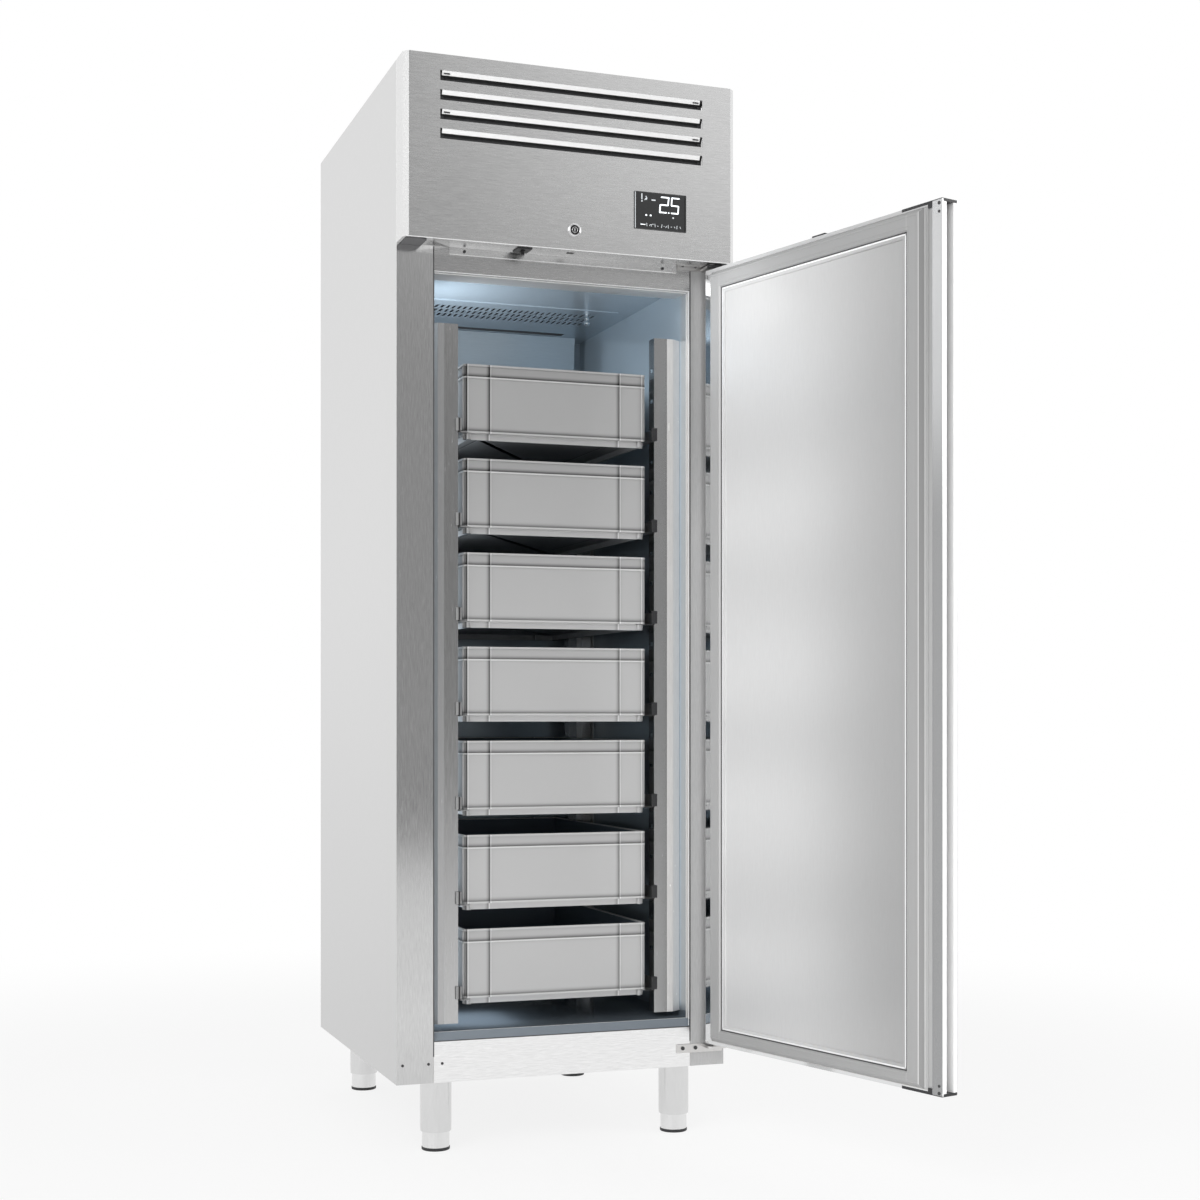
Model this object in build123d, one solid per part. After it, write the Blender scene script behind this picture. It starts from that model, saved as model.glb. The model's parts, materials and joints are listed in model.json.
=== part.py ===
from build123d import *
import os
from math import hypot, sqrt

# A tall single-door refrigerator for seven fish boxes, in millimetres.
# The origin is on the floor, under the centre of the cabinet. +X is the hinge side,
# -Y is the front and +Z is up. The door is modelled closed and stored open.

# Overall sizes
WIDTH = 700.0
DEPTH = 750.0
HEIGHT = 2163.0
LEG_HEIGHT = 142.0
FASCIA_DEPTH = 60.0
FASCIA_HEIGHT = 360.6
SHEET = 1.0
SEAM = 0.3
RUNNING_GAP = 0.3

HALF = WIDTH / 2
FRONT = -DEPTH / 2
BACK = DEPTH / 2
FASCIA_FRONT = FRONT - FASCIA_DEPTH
FASCIA_FOOT = HEIGHT - FASCIA_HEIGHT

# The opening and the insulated chamber
STILE_WIDTH = 75.5
BOTTOM_RAIL = 82.5
TOP_RAIL = 49.4
ROOF_RISE = 29.6
SILL_RISE = 15.5
CEILING_RISE = 19.0
BREAKER_DEPTH = 18.0
BREAKER_TOP_DEPTH = 95.0
BREAKER_WALL = 3.5
BACK_WALL = 50.0

OPENING_HALF = HALF - STILE_WIDTH
OPENING_FOOT = LEG_HEIGHT + BOTTOM_RAIL
OPENING_TOP = FASCIA_FOOT - TOP_RAIL
ROOF = FASCIA_FOOT + ROOF_RISE
FLOOR = OPENING_FOOT + SILL_RISE
CEILING = OPENING_TOP + CEILING_RISE
BREAKER_FRONT = FRONT + SHEET
BREAKER_BACK = BREAKER_FRONT + BREAKER_DEPTH
BREAKER_TOP_BACK = BREAKER_FRONT + BREAKER_TOP_DEPTH
LINER_BACK = BACK - BACK_WALL

# The boxes, the runners and the posts that carry them
BOX_COUNT = 7
BOX_WIDTH = 395.2
BOX_DEPTH = 595.0
BOX_HEIGHT = 152.5
BOX_WALL = 3.0
BOX_RIM = 3.0
BOX_FOOT_RISE = 13.0
BOX_FOOT_INSET = 12.0
BOX_RIB_DROP = 25.0
BOX_SETBACK = 56.0
BOX_PITCH = 191.0
BOX_HEADROOM = 188.5
POST_SETBACK = 45.0
POST_RETURN = 29.0
POST_BEVEL_WIDTH = 20.0
POST_BEVEL_DEPTH = 12.7
POST_CLEARANCE = 14.4
POST_SHEET = 1.5
POST_TOP_GAP = 112.0
POST_FOOT_GAP = 10.0
REAR_POST_GAP = 71.0
HOLE_HEIGHT = 8.0
HOLE_DEPTH = 15.0
HOLES_PER_BOX = 3
HOLE_RISE = 35.0
RUNNER_SHEET = 1.3
RUNNER_HEIGHT = 25.0
RUNNER_REACH = 20.0
HOOK_WIDTH = 12.0
HOOK_HEIGHT = 26.0
HOOK_DEPTH = 4.0

BOX_HALF = BOX_WIDTH / 2
BOX_FRONT = FRONT + BOX_SETBACK
BOX_BACK = BOX_FRONT + BOX_DEPTH
TOP_BOX_FOOT = CEILING - BOX_HEADROOM - BOX_HEIGHT
LOWEST_BOX_FOOT = TOP_BOX_FOOT - (BOX_COUNT - 1) * BOX_PITCH
POST_INNER = BOX_HALF + POST_CLEARANCE
POST_FRONT = FRONT + POST_SETBACK
REAR_POST_BACK = LINER_BACK - REAR_POST_GAP
POST_FOOT = FLOOR + POST_FOOT_GAP
POST_TOP = CEILING - POST_TOP_GAP
HOLE_PITCH = BOX_PITCH / HOLES_PER_BOX

# The air duct and the evaporator above the ceiling
DUCT_HALF = OPENING_HALF - 36.5
DUCT_TOP_SETBACK = 70.0
DUCT_FOOT_SETBACK = 15.0
DUCT_SLANT_HEIGHT = 400.0
DUCT_FOOT_GAP = 60.0
COVER_SHEET = 1.5
COVER_FRONT = FRONT + 330.0
SLOT_ROWS = 3
SLOTS_PER_ROW = 31
SLOT_PITCH = 12.9
SLOT_ROW_PITCH = 41.0
SLOT_WIDTH = 6.5
SLOT_LENGTH = 34.0
SLOTS_CENTRE = FRONT + 435.0
UNIT_CUT_HALF = DUCT_HALF - 23.0
UNIT_CUT_FRONT = FRONT + 345.0
UNIT_CUT_BACK = LINER_BACK - 75.0
HOUSING_HALF = DUCT_HALF - 6.0
HOUSING_WALL = 12.0
HOUSING_HEIGHT = 200.0
COIL_HALF = UNIT_CUT_HALF - 40.0
COIL_DEPTH = 75.0
COIL_HEIGHT = 100.0
COIL_RISE = 55.0
COIL_FINS = 24
FIN_SHEET = 0.8
TUBE_RADIUS = 4.0
DUCT_TOP = LINER_BACK - DUCT_TOP_SETBACK
COIL_BACK = UNIT_CUT_BACK - 20.0
COIL_FRONT = COIL_BACK - COIL_DEPTH
COIL_FOOT = ROOF + COIL_RISE
PROBE_X = DUCT_HALF - 66.0
PROBE_Y = FRONT + 357.0
PROBE_LENGTH = 29.0

# Fans
FAN_RADIUS = 74.0
FAN_CLEARANCE = 4.0
HUB_RADIUS = 20.0
HUB_LENGTH = 20.0
BLADE_COUNT = 5
BLADE_SHEET = 1.5
BLADE_PITCH_DEG = 32.0
MOTOR_RADIUS = 30.0
MOTOR_LENGTH = 38.0
SHAFT_RADIUS = 3.0
FAN_PLATE = 1.5
EVAPORATOR_FAN_Y = COIL_FRONT - 40.0
EVAPORATOR_FAN_Z = ROOF + 95.0

# The condensing unit
CONDENSER_LEFT = -HALF + 70.0
CONDENSER_RIGHT = HALF - 270.0
CONDENSER_FRONT = FRONT + 22.0
CONDENSER_DEPTH = 60.0
CONDENSER_RISE = 20.0
CONDENSER_HEIGHT = 260.0
CONDENSER_FINS = 45
SHROUD_DEPTH = 26.0
CONDENSER_FAN_RADIUS = 105.0
CONDENSER_FAN_X = (CONDENSER_LEFT + CONDENSER_RIGHT) / 2
CONDENSER_FAN_Z = ROOF + CONDENSER_RISE + CONDENSER_HEIGHT / 2
SHROUD_FRONT = CONDENSER_FRONT + CONDENSER_DEPTH + SEAM
CONDENSER_FAN_Y = SHROUD_FRONT + SHROUD_DEPTH - 10
COMPRESSOR_X = HALF - 145.0
COMPRESSOR_Y = FRONT + 190.0
COMPRESSOR_RADIUS = 88.0
COMPRESSOR_HEIGHT = 190.0
COMPRESSOR_FOOT_RISE = 14.0
TRAY_LEFT = -HALF + 60.0
TRAY_WIDTH = 150.0
TRAY_FRONT = FRONT + 195.0
TRAY_DEPTH = 110.0
TRAY_HEIGHT = 28.0
PIPE_RADIUS = 4.0
DRAIN_Y = (COIL_FRONT + COIL_BACK) / 2
SUCTION_RADIUS = 5.0
SUCTION_PORT = (COIL_BACK - COIL_DEPTH * 0.25, COIL_FOOT + COIL_HEIGHT * 0.875, SUCTION_RADIUS)
LIQUID_PORT = (COIL_BACK - COIL_DEPTH * 0.75, COIL_FOOT + COIL_HEIGHT * 0.125, PIPE_RADIUS)
CONTROL_BOX_HALF = 110.0
CONTROL_BOX_DEPTH = 80.0
CONTROL_BOX_HEIGHT = 120.0
FLANGE_WIDTH = 25.0
GRILLE_ROWS = 7
GRILLE_PITCH = 34.0
GRILLE_SLOT_HEIGHT = 10.0
GRILLE_SLOT_LENGTH = 150.0
GLAND_X = -60.0
GLAND_Z = ROOF + 45.0
GLAND_RADIUS = 9.0

# The fascia and what it carries
CHAMFER = 10.0
FASCIA_GAP = 0.5
LIP_HALF = HALF - 107.0
LIP_DROP = 14.4
LOUVRE_COUNT = 4
LOUVRE_HALF = HALF - 73.0
LOUVRE_HEIGHT = 20.2
LOUVRE_PITCH = 37.8
LOUVRE_DROP = 31.3
LOUVRE_MARGIN = 8.0
BLADE_DROP = 12.0
BLADE_DEPTH = 5.5
CONTROLLER_X = HALF - 166.25
CONTROLLER_Z = FASCIA_FOOT + 92.6
CONTROLLER_WIDTH = 115.5
CONTROLLER_HEIGHT = 76.0
CONTROLLER_PROUD = 1.5
CONTROLLER_DEPTH = 44.0
LOCK_Z = FASCIA_FOOT + 39.8
LOCK_RING_RADIUS = 12.5
LOCK_BODY_RADIUS = 9.5
LOCK_PLUG_RADIUS = 8.0
LOCK_FIT = 0.06
LOCK_THROW = 12.0
BOLT_X = 2.0
BOLT_HALF = 6.0
BOLT_Y = FRONT - 37.0
BOLT_DEPTH = 3.6
BOLT_SLOT_GAP = 0.5
CRANK_PIN_RADIUS = 2.0
BARREL_BACK = BOLT_Y - BOLT_DEPTH / 2 - 3.0
SWITCH_X = -99.0
SWITCH_Y = FRONT - 28.0
SWITCH_WIDTH = 30.0
SWITCH_DEPTH = 36.0
SWITCH_TIP_DROP = 10.4
HATCH_INNER = HALF - 50.0
HATCH_OUTER = HALF - 7.0
HATCH_FRONT = FRONT - 56.0
KNUCKLE_RADIUS = 3.0
FASCIA_PIN_RADIUS = 1.6
FASCIA_PIN_FIT = 0.06
LEAF_SHEET = 1.2
LEAF_DEPTH = 20.0
LEAF_HALF = 20.0
LEAF_X = HALF - 130.0
FASCIA_HINGE_Y = FRONT - FASCIA_GAP / 2
FASCIA_HINGE_Z = HEIGHT + KNUCKLE_RADIUS + 0.2

# The door, measured inwards and outwards from the plane of its inner face
DOOR_OPEN_DEG = 105.2
DOOR_GAP = 12.0
DOOR_THICKNESS = 38.0
DOOR_EDGE = HALF - 0.5
DOOR_TOP = FASCIA_FOOT - 13.2
DOOR_FOOT = LEG_HEIGHT + 52.0
DOOR_INNER = FRONT - DOOR_GAP
HINGE_X = HALF - 29.0
HINGE_Y = FRONT - 36.0
HINGE_PIN_RADIUS = 6.0
HINGE_FIT = 0.08
BUSH_WALL = 2.5
BUSH_DEPTH = 30.0
SWING_CHAMFER_WIDTH = 20.0
SWING_CHAMFER_DEPTH = 14.0
STRIP_INNER = HALF - 40.0
PAN_HALF = OPENING_HALF - 7.5
PAN_PROUD = 7.0
PAN_RIM = 10.0
PAN_RIM_RISE = 2.0
PAN_FLANGE_HALF = OPENING_HALF + 39.1
GASKET_INNER = PAN_HALF + 1.0
GASKET_OUTER = OPENING_HALF + 25.5
GASKET_SLANT = 8.0
GASKET_SEAT = 0.4
DOOR_FOLD = 7.0
HANDLE_FLANGE = 24.5
HANDLE_SHEET = 1.5
HANDLE_BEVEL_DEPTH = 12.0
GROOVE_WIDTH = 16.0
GROOVE_DEPTH = 22.0
CHANNEL_DEPTH = 3.0
CAP_LENGTH = 102.0
CAP_HEIGHT = 5.5
CAP_BLOCK_DROP = 12.0
KEEPER_HALF = 18.5
KEEPER_HEIGHT = 6.0
KEEPER_DEPTH = 12.0
PANEL_EDGE_GAP = 36.0

# The hinge brackets, the legs and the screws
BRACKET_SHEET = 5.0
BRACKET_INNER = LIP_HALF + 1.0
BRACKET_OUTER = HALF - 5.0
BRACKET_PLATE = 3.0
BRACKET_HEIGHT = 18.0
BRACKET_CLEARANCE = 6.0
ARM_INNER = HALF - 52.0
ARM_OUTER = HALF - 10.0
PIN_REACH = 26.0
LEG_SETBACK = 49.4
LEG_INSET = 92.7
LEG_REAR_SETBACK = 44.3
SLEEVE_RADIUS = 31.5
SLEEVE_FOOT = 48.0
SLEEVE_TAPER = 38.0
SLEEVE_MOUTH = 29.0
SLEEVE_WALL = 2.0
CUP_RADIUS = 27.5
CUP_TOP = 60.0
CUP_WALL = 2.0
PAD_RADIUS = 28.5
PAD_HEIGHT = 6.0
STUD_RADIUS = 6.0
STUD_HEADROOM = 8.0
STUD_TOP = LEG_HEIGHT - STUD_HEADROOM
STUD_FIT = 0.08
SCREW_HEAD_RADIUS = 4.0
SCREW_HEAD = 1.6
SCREW_RADIUS = 2.0
SCREW_LENGTH = 8.0
CAPTIVE_GAP = 0.5
BRACKET_INNER_SCREW = HALF - 93.0
BRACKET_OUTER_SCREW = HALF - 64.6
FASCIA_SCREW_X = LIP_HALF - 31.0
FASCIA_SCREW_Z = FASCIA_FOOT - 7.4
TOP_ARM_FOOT = DOOR_TOP + BRACKET_CLEARANCE
BOTTOM_ARM_TOP = DOOR_FOOT - BRACKET_CLEARANCE
TOP_SCREW_Z = TOP_ARM_FOOT + BRACKET_HEIGHT * 0.55
BOTTOM_SCREW_Z = BOTTOM_ARM_TOP - BRACKET_HEIGHT * 0.45


def block(x0, x1, y0, y1, z0, z1):
    """A solid box between two corners."""
    middle = Pos((x0 + x1) / 2, (y0 + y1) / 2, (z0 + z1) / 2)
    return middle * Box(abs(x1 - x0), abs(y1 - y0), abs(z1 - z0))


def wide(half, y0, y1, z0, z1):
    """A solid box that is centred on the middle plane."""
    return block(-half, half, y0, y1, z0, z1)


def upright(x, y, radius, z0, z1):
    """A round bar along Z."""
    return Pos(x, y, (z0 + z1) / 2) * Cylinder(radius, abs(z1 - z0))


def lengthways(x, z, radius, y0, y1):
    """A round bar along Y."""
    return Pos(x, (y0 + y1) / 2, z) * Rot(90, 0, 0) * Cylinder(radius, abs(y1 - y0))


def crossways(y, z, radius, x0, x1):
    """A round bar along X."""
    return Pos((x0 + x1) / 2, y, z) * Rot(0, 90, 0) * Cylinder(radius, abs(x1 - x0))


def prism_z(points, z0, z1):
    """An outline in X and Y, drawn up from z0 to z1."""
    outline = Polyline(*[(x, y, z0) for x, y in points], close=True)
    return extrude(make_face(outline), amount=z1 - z0, dir=(0, 0, 1))


def prism_x(points, x0, x1):
    """An outline in Y and Z, drawn across from x0 to x1."""
    outline = Polyline(*[(x0, y, z) for y, z in points], close=True)
    return extrude(make_face(outline), amount=x1 - x0, dir=(1, 0, 0))


def swap_side(shape):
    """The same shape on the other side of the cabinet."""
    return mirror(shape, about=Plane.YZ)


def solids_of(shapes):
    """All the solids in some shapes."""
    found = []
    for shape in shapes:
        found.extend(shape.solids())
    return found


def save(node, *shapes):
    """Write the solids of one piece to its own file."""
    export_step(Compound(children=solids_of(shapes)), f"parts/{node}.step")


# Cabinet shell


def side_panel():
    """The right side sheet, with its front stile folded in."""
    sheet = block(HALF - SHEET, HALF, FRONT, BACK, LEG_HEIGHT, HEIGHT)
    stile = block(OPENING_HALF, HALF, FRONT, FRONT + SHEET, LEG_HEIGHT, ROOF)
    flange = block(HALF - FLANGE_WIDTH, HALF, FRONT, FRONT + SHEET, ROOF, HEIGHT)
    screw_hole = bracket_screw_holes()
    return sheet + stile + flange - screw_hole


def bracket_screw_holes():
    """The clearance holes of the bracket screws, through the stile."""
    holes = []
    for x in bracket_screw_xs():
        for z in bracket_screw_zs():
            holes.append(lengthways(x, z, SCREW_RADIUS, FRONT - 1, FRONT + SCREW_LENGTH))
    return Compound(children=solids_of(holes))


def back_panel():
    return wide(HALF - SHEET, BACK - SHEET, BACK, LEG_HEIGHT, ROOF)


def bottom_panel():
    return wide(HALF - SHEET, FRONT + SHEET, BACK - SHEET, LEG_HEIGHT, LEG_HEIGHT + SHEET)


def front_rails():
    """The bottom rail, the top rail and the cross rail with its hinge leaves."""
    reach = OPENING_HALF - SEAM
    bottom = wide(reach, FRONT, FRONT + SHEET, LEG_HEIGHT, OPENING_FOOT)
    top = wide(reach, FRONT, FRONT + SHEET, OPENING_TOP, ROOF)
    for x in (-FASCIA_SCREW_X, FASCIA_SCREW_X):
        hole = lengthways(x, FASCIA_SCREW_Z, SCREW_RADIUS + CAPTIVE_GAP, FRONT - 1, FRONT + SHEET + 1)
        top = top - hole
    for x in (-BRACKET_INNER_SCREW, BRACKET_INNER_SCREW):
        for z in bracket_screw_zs():
            hole = lengthways(x, z, SCREW_RADIUS, FRONT - 1, FRONT + SHEET + 1)
            bottom = bottom - hole
            top = top - hole
    width = HALF - FLANGE_WIDTH - SEAM
    cross = wide(width, FRONT, FRONT + SHEET, HEIGHT - FLANGE_WIDTH, HEIGHT)
    cross = cross + wide(width, FRONT, FRONT + LEAF_DEPTH, HEIGHT - SHEET, HEIGHT)
    leaves = [fixed_leaf(x) for x in (-LEAF_X, LEAF_X)]
    return [bottom, top, cross] + leaves


def fixed_leaf(x):
    """The half of a fascia hinge that stays on the cabinet."""
    leaf = block(
        x - LEAF_HALF, x + LEAF_HALF,
        FRONT + 0.2, FRONT + LEAF_DEPTH,
        HEIGHT, HEIGHT + LEAF_SHEET,
    )
    reach = LEAF_HALF / 2
    knuckle = crossways(FASCIA_HINGE_Y, FASCIA_HINGE_Z, KNUCKLE_RADIUS, x - reach, x + reach)
    web = block(
        x - reach, x + reach,
        FASCIA_HINGE_Y, FRONT + 2 * KNUCKLE_RADIUS,
        HEIGHT + 0.2, HEIGHT + LEAF_SHEET,
    )
    bore = crossways(
        FASCIA_HINGE_Y, FASCIA_HINGE_Z, FASCIA_PIN_RADIUS + FASCIA_PIN_FIT,
        x - LEAF_HALF, x + LEAF_HALF,
    )
    for side in (-1, 1):
        leaf = leaf - knuckle_room(x + side * reach, x + side * (LEAF_HALF + 1))
    return leaf + web + knuckle - bore


def knuckle_room(x0, x1):
    """The round room that a turning knuckle needs."""
    return crossways(FASCIA_HINGE_Y, FASCIA_HINGE_Z, KNUCKLE_RADIUS + RUNNING_GAP, x0, x1)


def moving_leaf(x):
    """The half of a fascia hinge that is screwed to the fascia, with its pin."""
    leaf = block(
        x - LEAF_HALF, x + LEAF_HALF,
        FRONT - LEAF_DEPTH, FRONT - FASCIA_GAP,
        HEIGHT, HEIGHT + LEAF_SHEET,
    )
    pin = crossways(
        FASCIA_HINGE_Y, FASCIA_HINGE_Z, FASCIA_PIN_RADIUS, x - LEAF_HALF, x + LEAF_HALF
    )
    inner = LEAF_HALF / 2 + RUNNING_GAP
    shape = leaf - knuckle_room(x - inner, x + inner) + pin
    for side in (-1, 1):
        knuckle = crossways(
            FASCIA_HINGE_Y, FASCIA_HINGE_Z, KNUCKLE_RADIUS,
            x + side * inner, x + side * LEAF_HALF,
        )
        shape = shape + knuckle
    return shape


def roof_panel():
    plate = wide(HALF - SHEET, FRONT + SHEET, BACK - SHEET, ROOF - SHEET, ROOF)
    return plate - unit_cut(ROOF - 2 * SHEET, ROOF + SHEET)


def unit_cut(z0, z1):
    """The hole in the ceiling under the evaporator."""
    return wide(UNIT_CUT_HALF, UNIT_CUT_FRONT, UNIT_CUT_BACK, z0, z1)


def breaker_section():
    """The ring between the outer sheets and the liner, without its opening."""
    outer = OPENING_HALF + BREAKER_WALL
    foot = OPENING_FOOT - BREAKER_WALL
    return wide(outer, BREAKER_FRONT, BREAKER_BACK, foot, CEILING + SHEET)


def breaker_frame():
    """The plastic frame round the opening, with its sloping sill and its deep head."""
    ring = breaker_section()
    ring = ring - wide(
        OPENING_HALF, BREAKER_FRONT - 1, BREAKER_BACK + 1, OPENING_FOOT, OPENING_TOP
    )
    sill = [
        (BREAKER_FRONT, OPENING_FOOT - 1),
        (BREAKER_FRONT, OPENING_FOOT),
        (BREAKER_BACK, FLOOR),
        (BREAKER_BACK, OPENING_FOOT - 1),
    ]
    first_facet = BREAKER_FRONT + BREAKER_TOP_DEPTH * 0.46
    second_facet = BREAKER_FRONT + BREAKER_TOP_DEPTH * 0.78
    head = [
        (BREAKER_FRONT, OPENING_TOP),
        (first_facet, OPENING_TOP),
        (second_facet, OPENING_TOP + 2),
        (BREAKER_TOP_BACK, OPENING_TOP + 4),
        (BREAKER_TOP_BACK, CEILING + SHEET),
        (BREAKER_FRONT, CEILING + SHEET),
    ]
    sill_bar = prism_x(sill, -OPENING_HALF, OPENING_HALF)
    head_bar = prism_x(head, -OPENING_HALF, OPENING_HALF)
    return ring + sill_bar + head_bar


def inner_liner():
    """The stainless inside of the chamber, open at the front and under the evaporator."""
    outer = wide(
        OPENING_HALF + SHEET, BREAKER_BACK, LINER_BACK + SHEET, FLOOR - SHEET, CEILING + SHEET
    )
    inner = wide(OPENING_HALF, BREAKER_BACK - 1, LINER_BACK, FLOOR, CEILING)
    head_room = wide(OPENING_HALF, BREAKER_BACK - 1, BREAKER_TOP_BACK, CEILING - 1, CEILING + 2 * SHEET)
    return outer - inner - head_room - unit_cut(CEILING - 1, CEILING + 2 * SHEET)


def body_foam():
    """The foam between the outer sheets and the liner."""
    foam = wide(HALF - SHEET, FRONT + SHEET, BACK - SHEET, LEG_HEIGHT + SHEET, ROOF - SHEET)
    chamber = wide(
        OPENING_HALF + SHEET, FRONT, LINER_BACK + SHEET, FLOOR - SHEET, CEILING + SHEET
    )
    pockets = cabinet_screws() + fascia_screw_pockets() + [swap_side(bracket_screw_holes())]
    foam = foam - chamber - breaker_section() - unit_cut(CEILING, ROOF)
    for pocket in pockets:
        foam = foam - pocket
    return foam


# Rack


def front_post():
    """The right front post, with its slots in the return beside the boxes."""
    wall = OPENING_HALF - SEAM
    knee = wall - POST_BEVEL_WIDTH
    heel = POST_FRONT + POST_BEVEL_DEPTH
    slope = hypot(POST_BEVEL_WIDTH, POST_BEVEL_DEPTH)
    knee_shift = POST_SHEET * (slope - POST_BEVEL_WIDTH) / POST_BEVEL_DEPTH
    heel_shift = POST_SHEET * (slope - POST_BEVEL_DEPTH) / POST_BEVEL_WIDTH
    bevel = [
        (knee, POST_FRONT),
        (wall, heel),
        (wall, POST_FRONT + POST_RETURN),
        (wall - POST_SHEET, POST_FRONT + POST_RETURN),
        (wall - POST_SHEET, heel + heel_shift),
        (knee - knee_shift, POST_FRONT + POST_SHEET),
        (POST_INNER + POST_SHEET, POST_FRONT + POST_SHEET),
        (POST_INNER + POST_SHEET, POST_FRONT + POST_RETURN),
        (POST_INNER, POST_FRONT + POST_RETURN),
        (POST_INNER, POST_FRONT),
    ]
    post = prism_z(bevel, POST_FOOT, POST_TOP)
    slot_start = POST_FRONT + 9
    slots = []
    level = LOWEST_BOX_FOOT + HOLE_RISE
    while level < POST_TOP - HOLE_PITCH / 2:
        slots.append(
            block(
                POST_INNER - 1, POST_INNER + POST_SHEET + 1,
                slot_start, slot_start + HOLE_DEPTH,
                level - HOLE_HEIGHT / 2, level + HOLE_HEIGHT / 2,
            )
        )
        level += HOLE_PITCH
    return post - Compound(children=solids_of(slots))


def rear_post():
    """The right rear post: a front post turned to face the back."""
    middle = (POST_FRONT + REAR_POST_BACK) / 2
    return mirror(front_post(), about=Plane.XZ.offset(-middle))


def rack_posts():
    right = [front_post(), rear_post()]
    return right + [swap_side(post) for post in right]


def box_foot(index):
    """The height of a box's underside; box 1 is the top one."""
    return TOP_BOX_FOOT - index * BOX_PITCH


def box_runner(foot):
    """The right runner of one box: an angle between the posts, hooked on at both ends."""
    ledge = foot + BOX_FOOT_RISE - 0.2
    front = POST_FRONT - HOOK_DEPTH
    back = REAR_POST_BACK + HOOK_DEPTH
    outer = POST_INNER - SEAM
    angle = [
        (outer - RUNNER_REACH - RUNNER_SHEET, ledge - RUNNER_SHEET),
        (outer, ledge - RUNNER_SHEET),
        (outer, ledge + RUNNER_HEIGHT),
        (outer - RUNNER_SHEET, ledge + RUNNER_HEIGHT),
        (outer - RUNNER_SHEET, ledge),
        (outer - RUNNER_REACH - RUNNER_SHEET, ledge),
    ]
    outline = Polyline(*[(x, front, z) for x, z in angle], close=True)
    rail = extrude(make_face(outline), amount=back - front, dir=(0, 1, 0))
    hook_foot = foot + BOX_FOOT_RISE + 1
    for y0, y1 in ((front, POST_FRONT - SEAM), (REAR_POST_BACK + SEAM, back)):
        hook = block(
            outer - HOOK_WIDTH / 2, outer + HOOK_WIDTH / 2, y0, y1, hook_foot, hook_foot + HOOK_HEIGHT
        )
        rail = rail + hook
    return rail


def box_runners():
    right = [box_runner(box_foot(index)) for index in range(BOX_COUNT)]
    return right + [swap_side(runner) for runner in right]


def fish_box(foot):
    """An open box with a stacking foot, a rim and ribs outside its walls."""
    top = foot + BOX_HEIGHT
    skin = BOX_HALF - BOX_RIM
    front = BOX_FRONT + BOX_RIM
    back = BOX_BACK - BOX_RIM
    base = foot + BOX_FOOT_RISE
    body = wide(skin, front, back, base, top)
    ring = wide(
        BOX_HALF - BOX_FOOT_INSET, BOX_FRONT + BOX_FOOT_INSET, BOX_BACK - BOX_FOOT_INSET, foot, base
    )
    rim = wide(BOX_HALF, BOX_FRONT, BOX_BACK, top - 4, top)
    belt = wide(BOX_HALF, BOX_FRONT, BOX_BACK, top - BOX_RIB_DROP - 3, top - BOX_RIB_DROP)
    hem = wide(BOX_HALF, BOX_FRONT, BOX_BACK, base, base + 4)
    shape = body + ring + rim + belt + hem
    for x in (-skin + 1, -BOX_HALF * 0.71, BOX_HALF * 0.71, skin - 1):
        shape = shape + block(x - 1, x + 1, BOX_FRONT, BOX_BACK, base, top)
    for y in (front + 1, front + BOX_DEPTH * 0.14, back - BOX_DEPTH * 0.14, back - 1):
        shape = shape + wide(BOX_HALF, y - 1, y + 1, base, top)
    hollow = wide(
        skin - BOX_WALL, front + BOX_WALL, back - BOX_WALL, base + BOX_WALL, top + 1
    )
    recess = wide(
        BOX_HALF - BOX_FOOT_INSET - BOX_WALL,
        BOX_FRONT + BOX_FOOT_INSET + BOX_WALL,
        BOX_BACK - BOX_FOOT_INSET - BOX_WALL,
        foot - 1, base,
    )
    return shape - hollow - recess


# Air path and evaporator


def duct_panel():
    """The sheet that leads cold air down the back wall, bent once."""
    knee_z = CEILING - DUCT_SLANT_HEIGHT
    knee_y = LINER_BACK - DUCT_FOOT_SETBACK
    head = CEILING - COVER_SHEET - SEAM
    section = [
        (DUCT_TOP, head),
        (knee_y, knee_z),
        (knee_y, FLOOR + DUCT_FOOT_GAP),
        (knee_y + COVER_SHEET, FLOOR + DUCT_FOOT_GAP),
        (knee_y + COVER_SHEET, knee_z),
        (DUCT_TOP + COVER_SHEET, head),
    ]
    panel = prism_x(section, -DUCT_HALF, DUCT_HALF)
    for z in (knee_z - 60, (knee_z + FLOOR) / 2, FLOOR + DUCT_FOOT_GAP + 40):
        for x in (-DUCT_HALF + 14, DUCT_HALF - 14):
            spacer = lengthways(x, z, 5, knee_y + COVER_SHEET, LINER_BACK)
            panel = panel + spacer
    return panel


def evaporator_cover():
    """The slotted ceiling plate that the chamber's air is drawn up through."""
    plate = wide(DUCT_HALF, COVER_FRONT, DUCT_TOP, CEILING - COVER_SHEET, CEILING)
    slots = []
    for row in range(SLOT_ROWS):
        y = SLOTS_CENTRE + (row - (SLOT_ROWS - 1) / 2) * SLOT_ROW_PITCH
        shift = SLOT_PITCH / 4 * (-1) ** row
        for column in range(SLOTS_PER_ROW):
            x = (column - (SLOTS_PER_ROW - 1) / 2) * SLOT_PITCH + shift
            slots.append(
                block(
                    x - SLOT_WIDTH / 2, x + SLOT_WIDTH / 2,
                    y - SLOT_LENGTH / 2, y + SLOT_LENGTH / 2,
                    CEILING - 2 * COVER_SHEET, CEILING + 1,
                )
            )
    outlet = wide(
        UNIT_CUT_HALF - 15, UNIT_CUT_BACK - 35, UNIT_CUT_BACK - 4,
        CEILING - 2 * COVER_SHEET, CEILING + 1,
    )
    return plate - Compound(children=solids_of(slots)) - outlet


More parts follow.
